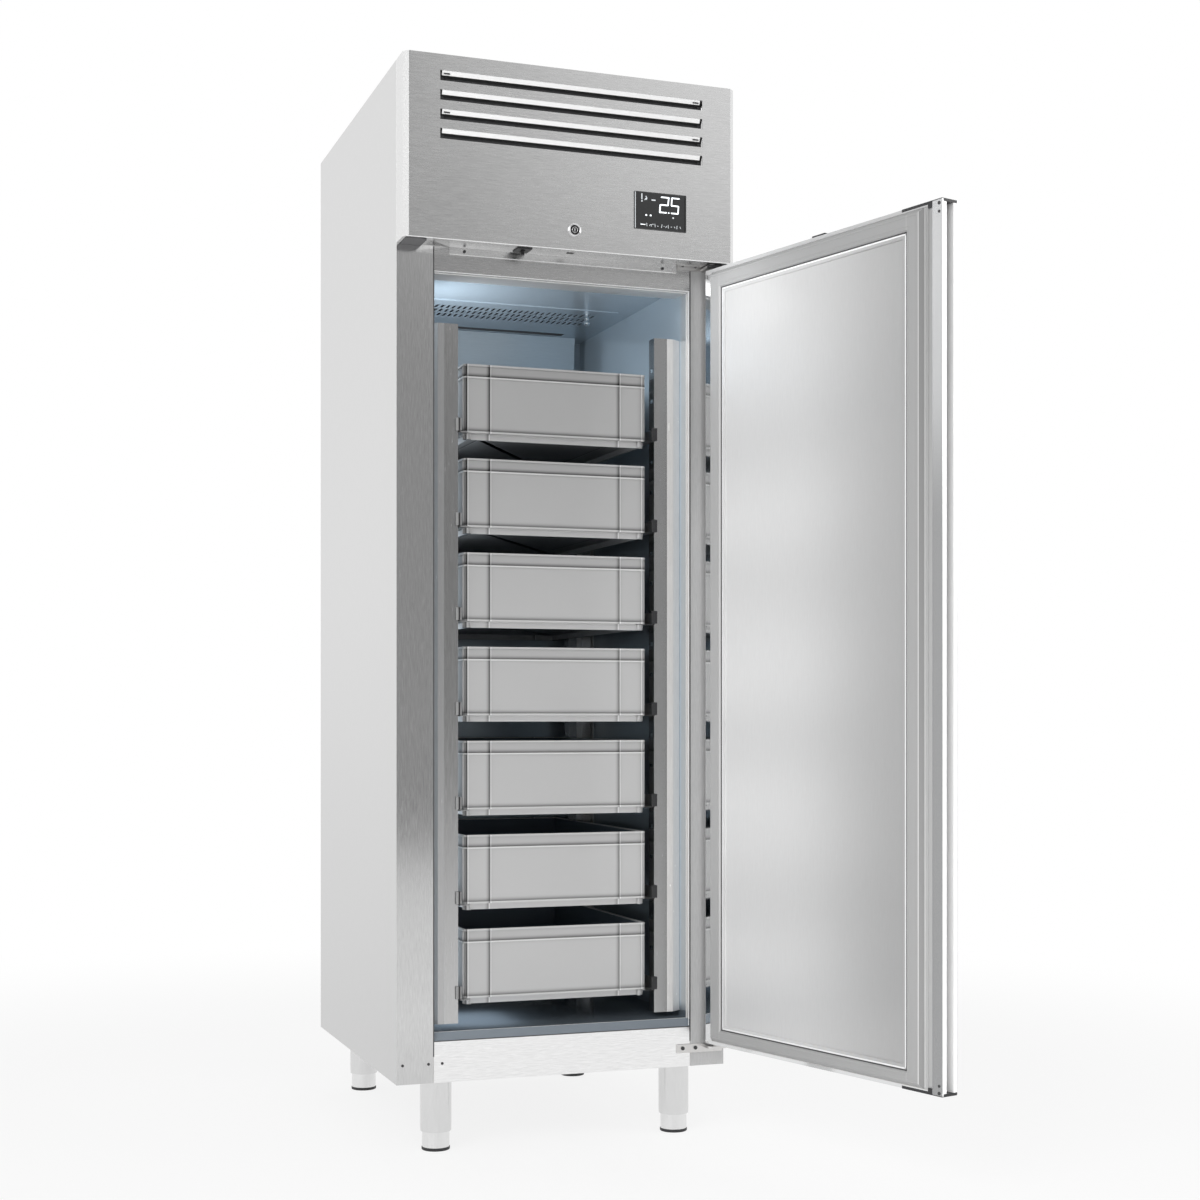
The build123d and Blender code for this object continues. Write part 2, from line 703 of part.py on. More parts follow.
def evaporator_housing():
    """The insulated hood on the roof, its fan plate and the drip tray under the coil."""
    top = ROOF + HOUSING_HEIGHT
    front = UNIT_CUT_FRONT - HOUSING_WALL
    back = UNIT_CUT_BACK + HOUSING_WALL
    hood = wide(HOUSING_HALF, front, back, ROOF, top)
    hood = hood - wide(UNIT_CUT_HALF, UNIT_CUT_FRONT, UNIT_CUT_BACK, ROOF - 1, top - HOUSING_WALL)
    plate_y = EVAPORATOR_FAN_Y
    plate = wide(
        UNIT_CUT_HALF, plate_y - FAN_PLATE / 2, plate_y + FAN_PLATE / 2, ROOF, top - HOUSING_WALL
    )
    mouth = lengthways(0, EVAPORATOR_FAN_Z, FAN_RADIUS + FAN_CLEARANCE, plate_y - 5, plate_y + 5)
    tray_top = COIL_FOOT - 2
    tray = wide(UNIT_CUT_HALF, COIL_FRONT - 8, COIL_BACK + 2, tray_top - 14, tray_top)
    tray = tray - wide(
        UNIT_CUT_HALF - 10, COIL_FRONT - 6.5, COIL_BACK + 0.5, tray_top - 12.5, tray_top + 1
    )
    cheeks = block(
        COIL_HALF + 3, UNIT_CUT_HALF, COIL_FRONT, COIL_BACK, tray_top, tray_top + 6
    )
    for port_y, port_z, radius in (SUCTION_PORT, LIQUID_PORT):
        port = crossways(port_y, port_z, radius + SEAM, UNIT_CUT_HALF - 1, HOUSING_HALF + 1)
        hood = hood - port
    drain = crossways(DRAIN_Y, tray_top - 8, PIPE_RADIUS + SEAM, -HOUSING_HALF - 1, -UNIT_CUT_HALF + 12)
    return (hood + (plate - mouth) + tray + cheeks + swap_side(cheeks)) - drain


def finned_coil(x0, x1, y0, y1, z0, z1, fins, rows, columns):
    """Thin fins across a bundle of tubes, with bends at both ends."""
    tube_y = [y0 + (y1 - y0) * (column + 0.5) / columns for column in range(columns)]
    tube_z = [z0 + (z1 - z0) * (row + 0.5) / rows for row in range(rows)]
    shape = None
    for index in range(fins):
        x = x0 + (x1 - x0) * index / (fins - 1)
        fin = block(x - FIN_SHEET / 2, x + FIN_SHEET / 2, y0, y1, z0, z1)
        shape = fin if shape is None else shape + fin
    for y in tube_y:
        for z in tube_z:
            shape = shape + crossways(y, z, TUBE_RADIUS, x0 - 6, x1 + 6)
    for y in tube_y:
        for lower, upper in zip(tube_z[::2], tube_z[1::2]):
            for x in (x0 - 6, x1 + 6):
                shape = shape + upright(x, y, TUBE_RADIUS, lower - TUBE_RADIUS, upper + TUBE_RADIUS)
    return shape


def evaporator_coil():
    return finned_coil(
        -COIL_HALF, COIL_HALF, COIL_FRONT, COIL_BACK,
        COIL_FOOT, COIL_FOOT + COIL_HEIGHT, COIL_FINS, 4, 2,
    )


def fan_blades(x, y, z, radius):
    """A hub with twisted blades that turns about an axis along Y."""
    hub = lengthways(x, z, HUB_RADIUS, y - HUB_LENGTH / 2, y + HUB_LENGTH / 2)
    bore = lengthways(x, z, SHAFT_RADIUS + LOCK_FIT, y - HUB_LENGTH / 2 - 1, y + HUB_LENGTH / 2 - 4)
    shape = hub - bore
    chord = HUB_RADIUS * 1.7
    reach = radius - HUB_RADIUS + 3
    for index in range(BLADE_COUNT):
        blade = Pos(HUB_RADIUS - 3 + reach / 2, 0, 0) * Rot(BLADE_PITCH_DEG, 0, 0) * Box(
            reach, BLADE_SHEET, chord
        )
        spun = Pos(x, y, z) * Rot(0, index * 360 / BLADE_COUNT, 0) * blade
        shape = shape + spun
    return shape - bore


def evaporator_fan_motor():
    """The motor in front of the fan plate; its arms lie on the plate's front face."""
    hub_front = EVAPORATOR_FAN_Y - HUB_LENGTH / 2
    arms_y = EVAPORATOR_FAN_Y - FAN_PLATE / 2 - 1.25
    front = hub_front - MOTOR_LENGTH - 2
    motor = lengthways(0, EVAPORATOR_FAN_Z, MOTOR_RADIUS, front, front + MOTOR_LENGTH)
    shaft_end = hub_front + HUB_LENGTH - 4 - RUNNING_GAP
    shaft = lengthways(0, EVAPORATOR_FAN_Z, SHAFT_RADIUS, front + MOTOR_LENGTH - 1, shaft_end)
    shape = motor + shaft
    rim = FAN_RADIUS + FAN_CLEARANCE + 6
    for index in range(3):
        turn = Pos(0, 0, EVAPORATOR_FAN_Z) * Rot(0, index * 120 + 90, 0)
        arm_y = front + MOTOR_LENGTH / 2
        arm = block(MOTOR_RADIUS - 3, rim, arm_y - 4, arm_y + 4, -1.5, 1.5)
        leg = block(rim - 3, rim, arm_y, EVAPORATOR_FAN_Y - FAN_PLATE / 2, -1.5, 1.5)
        shape = shape + turn * (arm + leg)
    return shape


def temperature_probe():
    """A small guarded sensor that hangs from the ceiling."""
    top = CEILING - COVER_SHEET
    foot = top - PROBE_LENGTH
    stem = upright(PROBE_X, PROBE_Y, 4, foot + 8, top)
    plate = upright(PROBE_X, PROBE_Y, 8, top - 3, top)
    bulb = Pos(PROBE_X, PROBE_Y, foot + 7) * Sphere(7)
    collar = Pos(PROBE_X, PROBE_Y, foot + 17) * Sphere(6)
    return stem + plate + bulb + collar


# Machine compartment


def condenser_coil():
    foot = ROOF + CONDENSER_RISE
    coil = finned_coil(
        CONDENSER_LEFT, CONDENSER_RIGHT, CONDENSER_FRONT, CONDENSER_FRONT + CONDENSER_DEPTH,
        foot, foot + CONDENSER_HEIGHT, CONDENSER_FINS, 8, 2,
    )
    for x in (CONDENSER_LEFT + 20, CONDENSER_RIGHT - 20):
        bracket = block(
            x - 10, x + 10, CONDENSER_FRONT + 5, CONDENSER_FRONT + CONDENSER_DEPTH - 5,
            ROOF, foot + 2,
        )
        coil = coil + bracket
    return coil


def condenser_fan_mount():
    """The shroud behind the condenser, with the motor held across its mouth."""
    foot = ROOF
    top = ROOF + CONDENSER_RISE + CONDENSER_HEIGHT
    back = SHROUD_FRONT + SHROUD_DEPTH
    left = CONDENSER_LEFT - 2
    right = CONDENSER_RIGHT + 2
    shell = block(left, right, SHROUD_FRONT, back, foot, top)
    shell = shell - block(
        left + 2, right - 2, SHROUD_FRONT - 1, back - 2, foot + CONDENSER_RISE, top - 2
    )
    mouth = lengthways(
        CONDENSER_FAN_X, CONDENSER_FAN_Z, CONDENSER_FAN_RADIUS + FAN_CLEARANCE, back - 5, back + 5
    )
    shell = shell - mouth
    hub_back = CONDENSER_FAN_Y + HUB_LENGTH / 2
    motor_front = hub_back + 2
    motor = lengthways(
        CONDENSER_FAN_X, CONDENSER_FAN_Z, MOTOR_RADIUS, motor_front, motor_front + MOTOR_LENGTH
    )
    shaft_end = CONDENSER_FAN_Y - HUB_LENGTH / 2 + 4 + RUNNING_GAP
    shaft = lengthways(
        CONDENSER_FAN_X, CONDENSER_FAN_Z, SHAFT_RADIUS, shaft_end, motor_front + 1
    )
    shape = shell + motor + shaft
    rim = CONDENSER_FAN_RADIUS + FAN_CLEARANCE + 8
    for index in range(3):
        turn = Pos(CONDENSER_FAN_X, 0, CONDENSER_FAN_Z) * Rot(0, index * 120 + 90, 0)
        arm_y = motor_front + MOTOR_LENGTH / 2
        arm = block(MOTOR_RADIUS - 3, rim, arm_y - 4, arm_y + 4, -2, 2)
        leg = block(rim - 4, rim, back - 1, arm_y, -2, 2)
        shape = shape + turn * (arm + leg)
    return shape


def condenser_fan_blades():
    """The fan in the shroud's mouth, on a shaft that comes in from behind."""
    blades = fan_blades(0, 0, 0, CONDENSER_FAN_RADIUS)
    turned = Rot(0, 0, 180) * blades
    return Pos(CONDENSER_FAN_X, CONDENSER_FAN_Y, CONDENSER_FAN_Z) * turned


def compressor():
    """A welded pot on a foot plate with four rubber mounts and two stubs."""
    foot = ROOF + COMPRESSOR_FOOT_RISE
    top = foot + COMPRESSOR_HEIGHT
    pot = upright(COMPRESSOR_X, COMPRESSOR_Y, COMPRESSOR_RADIUS, foot, top - 20)
    pot = fillet(pot.edges().group_by(Axis.Z)[0], 14)
    lid = upright(COMPRESSOR_X, COMPRESSOR_Y, COMPRESSOR_RADIUS - 3, top - 20, top)
    lid = fillet(lid.edges().group_by(Axis.Z)[-1], 18)
    seam = upright(COMPRESSOR_X, COMPRESSOR_Y, COMPRESSOR_RADIUS + 3, top - 72, top - 67)
    plate = block(
        COMPRESSOR_X - 90, COMPRESSOR_X + 90, COMPRESSOR_Y - 60, COMPRESSOR_Y + 60, foot, foot + 3
    )
    shape = pot + lid + seam + plate
    for x in (COMPRESSOR_X - 78, COMPRESSOR_X + 78):
        for y in (COMPRESSOR_Y - 48, COMPRESSOR_Y + 48):
            shape = shape + upright(x, y, 10, ROOF, foot)
            shape = shape + upright(x, y, 5, foot, foot + 10)
    cover_x = COMPRESSOR_X - COMPRESSOR_RADIUS
    cover = block(
        cover_x - 26, cover_x + 12, COMPRESSOR_Y - 35, COMPRESSOR_Y + 35, foot + 50, foot + 120
    )
    return shape + cover


def evaporation_tray():
    """The open tray where melted frost dries off."""
    right = TRAY_LEFT + TRAY_WIDTH
    back = TRAY_FRONT + TRAY_DEPTH
    tray = block(TRAY_LEFT, right, TRAY_FRONT, back, ROOF, ROOF + TRAY_HEIGHT)
    hollow = block(
        TRAY_LEFT + 2, right - 2, TRAY_FRONT + 2, back - 2, ROOF + 2, ROOF + TRAY_HEIGHT + 1
    )
    return tray - hollow


def electrical_box():
    """The terminal box at the back, with the gland of the mains lead."""
    back = BACK - SHEET
    front = back - CONTROL_BOX_DEPTH
    box = wide(CONTROL_BOX_HALF, front, back, ROOF, ROOF + CONTROL_BOX_HEIGHT)
    lid_line = wide(
        CONTROL_BOX_HALF + 1.5, front - 1.5, front + 12,
        ROOF + CONTROL_BOX_HEIGHT - 14, ROOF + CONTROL_BOX_HEIGHT + 1.5,
    )
    gland = lengthways(GLAND_X, GLAND_Z, GLAND_RADIUS, back - 1, BACK + 16)
    nut = lengthways(GLAND_X, GLAND_Z, GLAND_RADIUS + 4, BACK + 0.2, BACK + 7)
    bore = lengthways(GLAND_X, GLAND_Z, 4, back - 20, BACK + 20)
    return box + lid_line + gland + nut - bore


def rear_grille():
    """The louvred sheet that closes the machine compartment at the back."""
    sheet = wide(HALF - SHEET, BACK - SHEET, BACK, ROOF, HEIGHT)
    slots = []
    for row in range(GRILLE_ROWS):
        z = HEIGHT - 40 - row * GRILLE_PITCH
        for x in (-GRILLE_SLOT_LENGTH - 20, 0, GRILLE_SLOT_LENGTH + 20):
            slots.append(
                block(
                    x - GRILLE_SLOT_LENGTH / 2, x + GRILLE_SLOT_LENGTH / 2,
                    BACK - 2 * SHEET, BACK + SHEET,
                    z - GRILLE_SLOT_HEIGHT / 2, z + GRILLE_SLOT_HEIGHT / 2,
                )
            )
    port = lengthways(GLAND_X, GLAND_Z, GLAND_RADIUS + SEAM, BACK - 5, BACK + 5)
    return sheet - Compound(children=solids_of(slots)) - port


def pipe(points, radius, bend):
    """A copper pipe with round bends."""
    path = FilletPolyline(*points, radius=bend)
    start = path @ 0
    along = path % 0
    section = Plane(origin=start, z_dir=along) * Circle(radius)
    return sweep(section, path=path)


def refrigerant_pipes():
    """Discharge, liquid (with its dryer) and suction lines, and the drain hose."""
    bend = 18
    condenser_edge = CONDENSER_RIGHT + 6 + TUBE_RADIUS
    top_row = ROOF + CONDENSER_RISE + CONDENSER_HEIGHT * 15 / 16
    low_row = ROOF + CONDENSER_RISE + CONDENSER_HEIGHT * 1 / 16
    column = CONDENSER_FRONT + CONDENSER_DEPTH * 0.25
    lid = ROOF + COMPRESSOR_FOOT_RISE + COMPRESSOR_HEIGHT + SEAM
    discharge = pipe(
        [
            (COMPRESSOR_X - 30, COMPRESSOR_Y - 20, lid),
            (COMPRESSOR_X - 30, COMPRESSOR_Y - 20, lid + 45),
            (COMPRESSOR_X - 30, column, lid + 45),
            (COMPRESSOR_X - 30, column, top_row),
            (condenser_edge + SEAM, column, top_row),
        ],
        PIPE_RADIUS, bend * 0.8,
    )
    liquid_y, liquid_z, _ = LIQUID_PORT
    lane_x = HALF - 40
    liquid = pipe(
        [
            (condenser_edge + SEAM, column, low_row),
            (condenser_edge + 30, column, low_row),
            (condenser_edge + 30, COMPRESSOR_Y - 110, low_row),
            (lane_x, COMPRESSOR_Y - 110, low_row),
            (lane_x, liquid_y, low_row),
            (lane_x, liquid_y, liquid_z),
            (COIL_HALF + 6 + TUBE_RADIUS + SEAM, liquid_y, liquid_z),
        ],
        PIPE_RADIUS, bend * 0.6,
    )
    dryer = Pos(lane_x, (COMPRESSOR_Y + liquid_y) / 2, low_row) * Rot(90, 0, 0) * Cylinder(11, 90)
    suction_y, suction_z, _ = SUCTION_PORT
    rise = lid + 30
    suction = pipe(
        [
            (COIL_HALF + 6 + TUBE_RADIUS + SEAM, suction_y, suction_z),
            (HALF - 70, suction_y, suction_z),
            (HALF - 70, suction_y, rise),
            (HALF - 70, COMPRESSOR_Y + 30, rise),
            (HALF - 70, COMPRESSOR_Y + 30, lid + 2),
        ],
        SUCTION_RADIUS, bend * 0.6,
    )
    hose_z = COIL_FOOT - 2 - 8
    tray_middle = TRAY_FRONT + TRAY_DEPTH / 2
    hose_x = TRAY_LEFT + 25
    drain = pipe(
        [
            (-UNIT_CUT_HALF + 11, DRAIN_Y, hose_z),
            (hose_x, DRAIN_Y, hose_z),
            (hose_x, tray_middle, hose_z),
            (hose_x, tray_middle, ROOF + TRAY_HEIGHT - 8),
        ],
        PIPE_RADIUS, bend * 0.8,
    )
    return [discharge, liquid + dryer, suction, drain]


# Fascia


def fascia_section(inset):
    """The outline of the fascia seen from above, moved in by the sheet's thickness."""
    side = HALF - inset
    front = FASCIA_FRONT + inset
    cut = CHAMFER - inset * (2 - sqrt(2))
    rear = FRONT - FASCIA_GAP
    return [
        (-side, rear), (-side, front + cut), (-side + cut, front),
        (side - cut, front), (side, front + cut), (side, rear),
    ]


def fascia_panel():
    """The folded front of the machine compartment, with its two hinge leaves."""
    shell = prism_z(fascia_section(0), FASCIA_FOOT, HEIGHT)
    hollow = prism_z(
        [(x, y + 1 if y > FASCIA_FRONT + FASCIA_DEPTH / 2 else y) for x, y in fascia_section(SHEET)],
        FASCIA_FOOT + SHEET, HEIGHT - SHEET,
    )
    shell = shell - hollow
    lip = wide(
        LIP_HALF, FRONT - FASCIA_GAP - SHEET, FRONT - FASCIA_GAP,
        FASCIA_FOOT - LIP_DROP, FASCIA_FOOT + SHEET,
    )
    shell = shell + lip
    cuts = [
        louvre_slots(FASCIA_FRONT - 1, FASCIA_FRONT + SHEET + 1),
        lengthways(0, LOCK_Z, LOCK_BODY_RADIUS + 0.1, FASCIA_FRONT - 1, FASCIA_FRONT + SHEET + 1),
        controller_window(0.3, FASCIA_FRONT - 1, FASCIA_FRONT + SHEET + 1),
        bolt_slot(),
        switch_body(0.2),
        hinge_hatch(1),
        hinge_hatch(-1),
        bracket_relief(),
    ]
    for x in (-FASCIA_SCREW_X, FASCIA_SCREW_X):
        cuts.append(
            lengthways(x, FASCIA_SCREW_Z, SCREW_RADIUS, FRONT - FASCIA_GAP - 3, FRONT)
        )
    for cut in cuts:
        shell = shell - cut
    return [shell] + [moving_leaf(x) for x in (-LEAF_X, LEAF_X)]


def louvre_slots(y0, y1):
    slots = []
    for index in range(LOUVRE_COUNT):
        top = HEIGHT - LOUVRE_DROP - index * LOUVRE_PITCH
        slots.append(wide(LOUVRE_HALF, y0, y1, top - LOUVRE_HEIGHT, top))
    return Compound(children=solids_of(slots))


def controller_window(clearance, y0, y1):
    half_width = CONTROLLER_WIDTH / 2 - 3 + clearance
    half_height = CONTROLLER_HEIGHT / 2 - 3 + clearance
    return block(
        CONTROLLER_X - half_width, CONTROLLER_X + half_width, y0, y1,
        CONTROLLER_Z - half_height, CONTROLLER_Z + half_height,
    )


def bolt_slot():
    reach = BOLT_HALF + BOLT_SLOT_GAP
    depth = BOLT_DEPTH / 2 + BOLT_SLOT_GAP
    return block(
        BOLT_X - reach, BOLT_X + reach, BOLT_Y - depth, BOLT_Y + depth,
        FASCIA_FOOT - 1, FASCIA_FOOT + SHEET + 1,
    )


def hinge_hatch(side):
    """The hole where a hinge bracket reaches in, on the left or the right."""
    inner = side * (HATCH_INNER + 3)
    outer = side * (HATCH_OUTER - 3)
    return block(
        inner, outer, HATCH_FRONT + 3, FRONT, FASCIA_FOOT - 1, FASCIA_FOOT + SHEET + 1
    )


def bracket_relief():
    """The gap that lets the fascia pass the top hinge bracket."""
    return block(
        LIP_HALF + 0.5, HALF - SHEET - 0.5, FRONT - BRACKET_PLATE - SCREW_HEAD - 0.5, FRONT,
        FASCIA_FOOT - 1, FASCIA_FOOT + SHEET + 1,
    )


def fascia_louvres():
    """The pressed plate behind the slots, with a sloping blade in each."""
    front = FASCIA_FRONT + SHEET
    top = HEIGHT - LOUVRE_DROP + LOUVRE_MARGIN
    foot = HEIGHT - LOUVRE_DROP - (LOUVRE_COUNT - 1) * LOUVRE_PITCH - LOUVRE_HEIGHT - LOUVRE_MARGIN
    plate = wide(LOUVRE_HALF + 2 * LOUVRE_MARGIN, front, front + SHEET, foot, top)
    plate = plate - louvre_slots(front - 1, front + SHEET + 1)
    for index in range(LOUVRE_COUNT):
        edge = HEIGHT - LOUVRE_DROP - index * LOUVRE_PITCH
        blade = [
            (front, edge + 0.6),
            (front + SHEET, edge + 0.6),
            (front + BLADE_DEPTH, edge - BLADE_DROP + 1.2),
            (front + BLADE_DEPTH, edge - BLADE_DROP),
            (front, edge - 0.6),
        ]
        plate = plate + prism_x(blade, -LOUVRE_HALF, LOUVRE_HALF)
    return plate


def air_filter():
    """A washable filter in a frame, held behind the louvres."""
    front = FASCIA_FRONT + SHEET + BLADE_DEPTH + RUNNING_GAP
    top = HEIGHT - LOUVRE_DROP + LOUVRE_MARGIN
    foot = top - LOUVRE_COUNT * LOUVRE_PITCH - LOUVRE_MARGIN
    frame = wide(LOUVRE_HALF, front, front + 8, foot, top)
    frame = frame - wide(LOUVRE_HALF - 8, front - 1, front + 9, foot + 8, top - 8)
    core = wide(LOUVRE_HALF - 7, front + 3, front + 5, foot + 7, top - 7)
    return frame + core


def controller():
    """The display unit: a bezel on the fascia and a body through it."""
    half_width = CONTROLLER_WIDTH / 2
    half_height = CONTROLLER_HEIGHT / 2
    bezel = block(
        CONTROLLER_X - half_width, CONTROLLER_X + half_width,
        FASCIA_FRONT - CONTROLLER_PROUD, FASCIA_FRONT,
        CONTROLLER_Z - half_height, CONTROLLER_Z + half_height,
    )
    body = controller_window(0, FASCIA_FRONT, FASCIA_FRONT + CONTROLLER_DEPTH)
    return bezel + body


def lock_barrel():
    """The fixed part of the lock: ring, body and nut, bored for the plug."""
    ring = lengthways(0, LOCK_Z, LOCK_RING_RADIUS, FASCIA_FRONT - 2.5, FASCIA_FRONT)
    body = lengthways(0, LOCK_Z, LOCK_BODY_RADIUS, FASCIA_FRONT - 1, BARREL_BACK)
    nut = lengthways(0, LOCK_Z, LOCK_RING_RADIUS, FASCIA_FRONT + SHEET, FASCIA_FRONT + SHEET + 4)
    bore = lengthways(0, LOCK_Z, LOCK_PLUG_RADIUS + LOCK_FIT, FASCIA_FRONT - 5, BARREL_BACK + 1)
    return ring + body + nut - bore


def lock_plug():
    """The turning part of the lock, with a key slot in front and a crank behind."""
    plug = lengthways(0, LOCK_Z, LOCK_PLUG_RADIUS, FASCIA_FRONT - 1.5, BARREL_BACK + 0.2)
    key = block(-1, 1, FASCIA_FRONT - 2, FASCIA_FRONT + 12, LOCK_Z - 4.5, LOCK_Z + 4.5)
    crank_front = BARREL_BACK + 0.2
    crank_back = BOLT_Y - BOLT_DEPTH / 2 - RUNNING_GAP
    crank = lengthways(0, LOCK_Z, 5, crank_front, crank_back)
    crank = crank + block(0, LOCK_THROW, crank_front, crank_back, LOCK_Z - 3, LOCK_Z + 3)
    pin = lengthways(LOCK_THROW, LOCK_Z, CRANK_PIN_RADIUS, crank_front, BOLT_Y + BOLT_DEPTH / 2 + 1)
    return plug + crank + pin - key


def lock_bolt():
    """The plate that the crank drives down into the keeper on the door."""
    y0 = BOLT_Y - BOLT_DEPTH / 2
    y1 = BOLT_Y + BOLT_DEPTH / 2
    foot = FASCIA_FOOT + 0.6
    blade = block(BOLT_X - BOLT_HALF, BOLT_X + BOLT_HALF, y0, y1, foot, LOCK_Z - 4)
    head = block(-6.5, LOCK_THROW + 7, y0, y1, LOCK_Z - 10, LOCK_Z + 10)
    reach = CRANK_PIN_RADIUS + 1
    window = block(
        -reach, LOCK_THROW + reach, y0 - 1, y1 + 1,
        LOCK_Z - reach - 2.6, LOCK_Z + reach + 2.6,
    )
    return blade + head - window


def hinge_cover():
    """The plate that blanks the unused hinge hole, rounded at the front."""
    x0 = -HATCH_OUTER
    x1 = -HATCH_INNER
    middle = (x0 + x1) / 2
    width = abs(x1 - x0)
    plate = block(
        x0, x1, HATCH_FRONT + 12, FRONT - FASCIA_GAP, FASCIA_FOOT - 2, FASCIA_FOOT
    )
    nose = Pos(middle, HATCH_FRONT + 12, FASCIA_FOOT - 1) * half_round(width / 2, 12)
    return plate + nose


def half_round(half_width, reach):
    """A half-round nose, two millimetres thick, that reaches forward."""
    disc = extrude(Ellipse(half_width, reach), amount=1, both=True)
    return disc - Pos(0, reach, 0) * Box(4 * half_width, 2 * reach, 4)


def switch_body(clearance):
    """The part of the switch that passes up through the fascia."""
    return block(
        SWITCH_X - 10 - clearance, SWITCH_X + 10 + clearance,
        SWITCH_Y - 12 - clearance, SWITCH_Y + 12 + clearance,
        FASCIA_FOOT - 0.5, FASCIA_FOOT + 26,
    )


def door_switch_base():
    """The switch body and its flange, with the slot that the blade swings in."""
    flange = block(
        SWITCH_X - SWITCH_WIDTH / 2, SWITCH_X + SWITCH_WIDTH / 2,
        SWITCH_Y - SWITCH_DEPTH / 2, SWITCH_Y + SWITCH_DEPTH / 2,
        FASCIA_FOOT - 2.5, FASCIA_FOOT,
    )
    slot = block(
        SWITCH_X - 4, SWITCH_X + 4, SWITCH_Y - 9, SWITCH_Y + 9,
        FASCIA_FOOT - 4, FASCIA_FOOT + 20,
    )
    pivot = crossways(
        SWITCH_Y, FASCIA_FOOT + 10, 1.5 + LOCK_FIT, SWITCH_X - 7, SWITCH_X + 7
    )
    return flange + switch_body(0) - slot - pivot


def door_switch_lever():
    """The sprung blade of the switch, on a cross pin."""
    blade = block(
        SWITCH_X - 3, SWITCH_X + 3, SWITCH_Y - 2, SWITCH_Y + 2,
        FASCIA_FOOT - SWITCH_TIP_DROP, FASCIA_FOOT + 12,
    )
    pin = crossways(SWITCH_Y, FASCIA_FOOT + 10, 1.5, SWITCH_X - 6.5, SWITCH_X + 6.5)
    return blade + pin


# Door, modelled closed


def door_plane(inward):
    """The Y of a plane inside the door, measured outwards from its inner face."""
    return DOOR_INNER - inward


def door_skin():
    """The outer sheet, folded round the hinge edge, the top and the bottom."""
    edge = DOOR_EDGE
    shoulder = edge - SWING_CHAMFER_WIDTH
    s = SHEET
    outline = [
        (-edge, door_plane(DOOR_THICKNESS)),
        (edge, door_plane(DOOR_THICKNESS)),
        (edge, door_plane(SWING_CHAMFER_DEPTH)),
        (shoulder, door_plane(0)),
        (STRIP_INNER, door_plane(0)),
        (STRIP_INNER, door_plane(s)),
        (shoulder - s * 0.3, door_plane(s)),
        (edge - s, door_plane(SWING_CHAMFER_DEPTH + s * 0.5)),
        (edge - s, door_plane(DOOR_THICKNESS - s)),
        (-edge, door_plane(DOOR_THICKNESS - s)),
    ]
    skin = prism_z(outline, DOOR_FOOT, DOOR_TOP)
    for z0, z1, fold0, fold1 in (
        (DOOR_TOP - s, DOOR_TOP, DOOR_TOP - DOOR_FOLD, DOOR_TOP),
        (DOOR_FOOT, DOOR_FOOT + s, DOOR_FOOT, DOOR_FOOT + DOOR_FOLD),
    ):
        left = -PAN_FLANGE_HALF
        cap = [
            (left, door_plane(0)),
            (shoulder, door_plane(0)),
            (edge, door_plane(SWING_CHAMFER_DEPTH)),
            (edge, door_plane(DOOR_THICKNESS)),
            (-edge, door_plane(DOOR_THICKNESS)),
            (-edge, door_plane(GROOVE_WIDTH + HANDLE_BEVEL_DEPTH + 4)),
            (left, door_plane(GROOVE_WIDTH + HANDLE_BEVEL_DEPTH + 4)),
        ]
        skin = skin + prism_z(cap, z0, z1)
        skin = skin + block(left, shoulder, door_plane(0), door_plane(s), fold0, fold1)
    skin = skin - end_cap_space(1) - end_cap_space(-1)
    return skin - bush_holes() - keeper_screw_holes()


def end_cap_space(end):
    """The notch in the door's corner that an end cap fills, at the top or the bottom."""
    z0, z1 = cap_span(end)
    return block(
        -DOOR_EDGE - 1, -DOOR_EDGE + CAP_LENGTH, door_plane(-1), door_plane(DOOR_THICKNESS - SHEET),
        z0, z1 + end,
    )


def cap_span(end):
    """Where an end cap lies: first its inner face, then its outer face."""
    if end > 0:
        return DOOR_TOP - CAP_HEIGHT + 1, DOOR_TOP + 1
    return DOOR_FOOT + CAP_HEIGHT - 1, DOOR_FOOT - 1


def bush_holes():
    holes = []
    for z0, z1 in bush_spans():
        holes.append(upright(HINGE_X, HINGE_Y, HINGE_PIN_RADIUS + BUSH_WALL, z0, z1))
    return Compound(children=solids_of(holes))


def bush_spans():
    return (
        (DOOR_TOP - BUSH_DEPTH, DOOR_TOP),
        (DOOR_FOOT, DOOR_FOOT + BUSH_DEPTH),
    )


def keeper_screw_holes():
    holes = [
        upright(BOLT_X + x, BOLT_Y, SCREW_RADIUS, DOOR_TOP - 12, DOOR_TOP + 1)
        for x in (-KEEPER_HALF + 5, KEEPER_HALF - 5)
    ]
    return Compound(children=solids_of(holes))


def handle_outline():
    """The section of the grip: flange, bevel, finger groove and the wall of the lip."""
    t = HANDLE_SHEET
    edge = -DOOR_EDGE
    flange = edge + HANDLE_FLANGE
    groove = edge + GROOVE_DEPTH
    near = HANDLE_BEVEL_DEPTH
    far = near + GROOVE_WIDTH
    last = DOOR_THICKNESS - SHEET
    return [
        (edge, door_plane(0)),
        (flange, door_plane(0)),
        (flange, door_plane(CHANNEL_DEPTH)),
        (flange - t, door_plane(CHANNEL_DEPTH)),
        (flange - t, door_plane(t)),
        (edge + t, door_plane(t)),
        (edge + t + 1, door_plane(near - t)),
        (groove + t, door_plane(near - t)),
        (groove + t, door_plane(far + t)),
        (edge + t, door_plane(far + t)),
        (edge + t, door_plane(last)),
        (edge, door_plane(last)),
        (edge, door_plane(far)),
        (groove, door_plane(far)),
        (groove, door_plane(near)),
        (edge + 1, door_plane(near)),
    ]


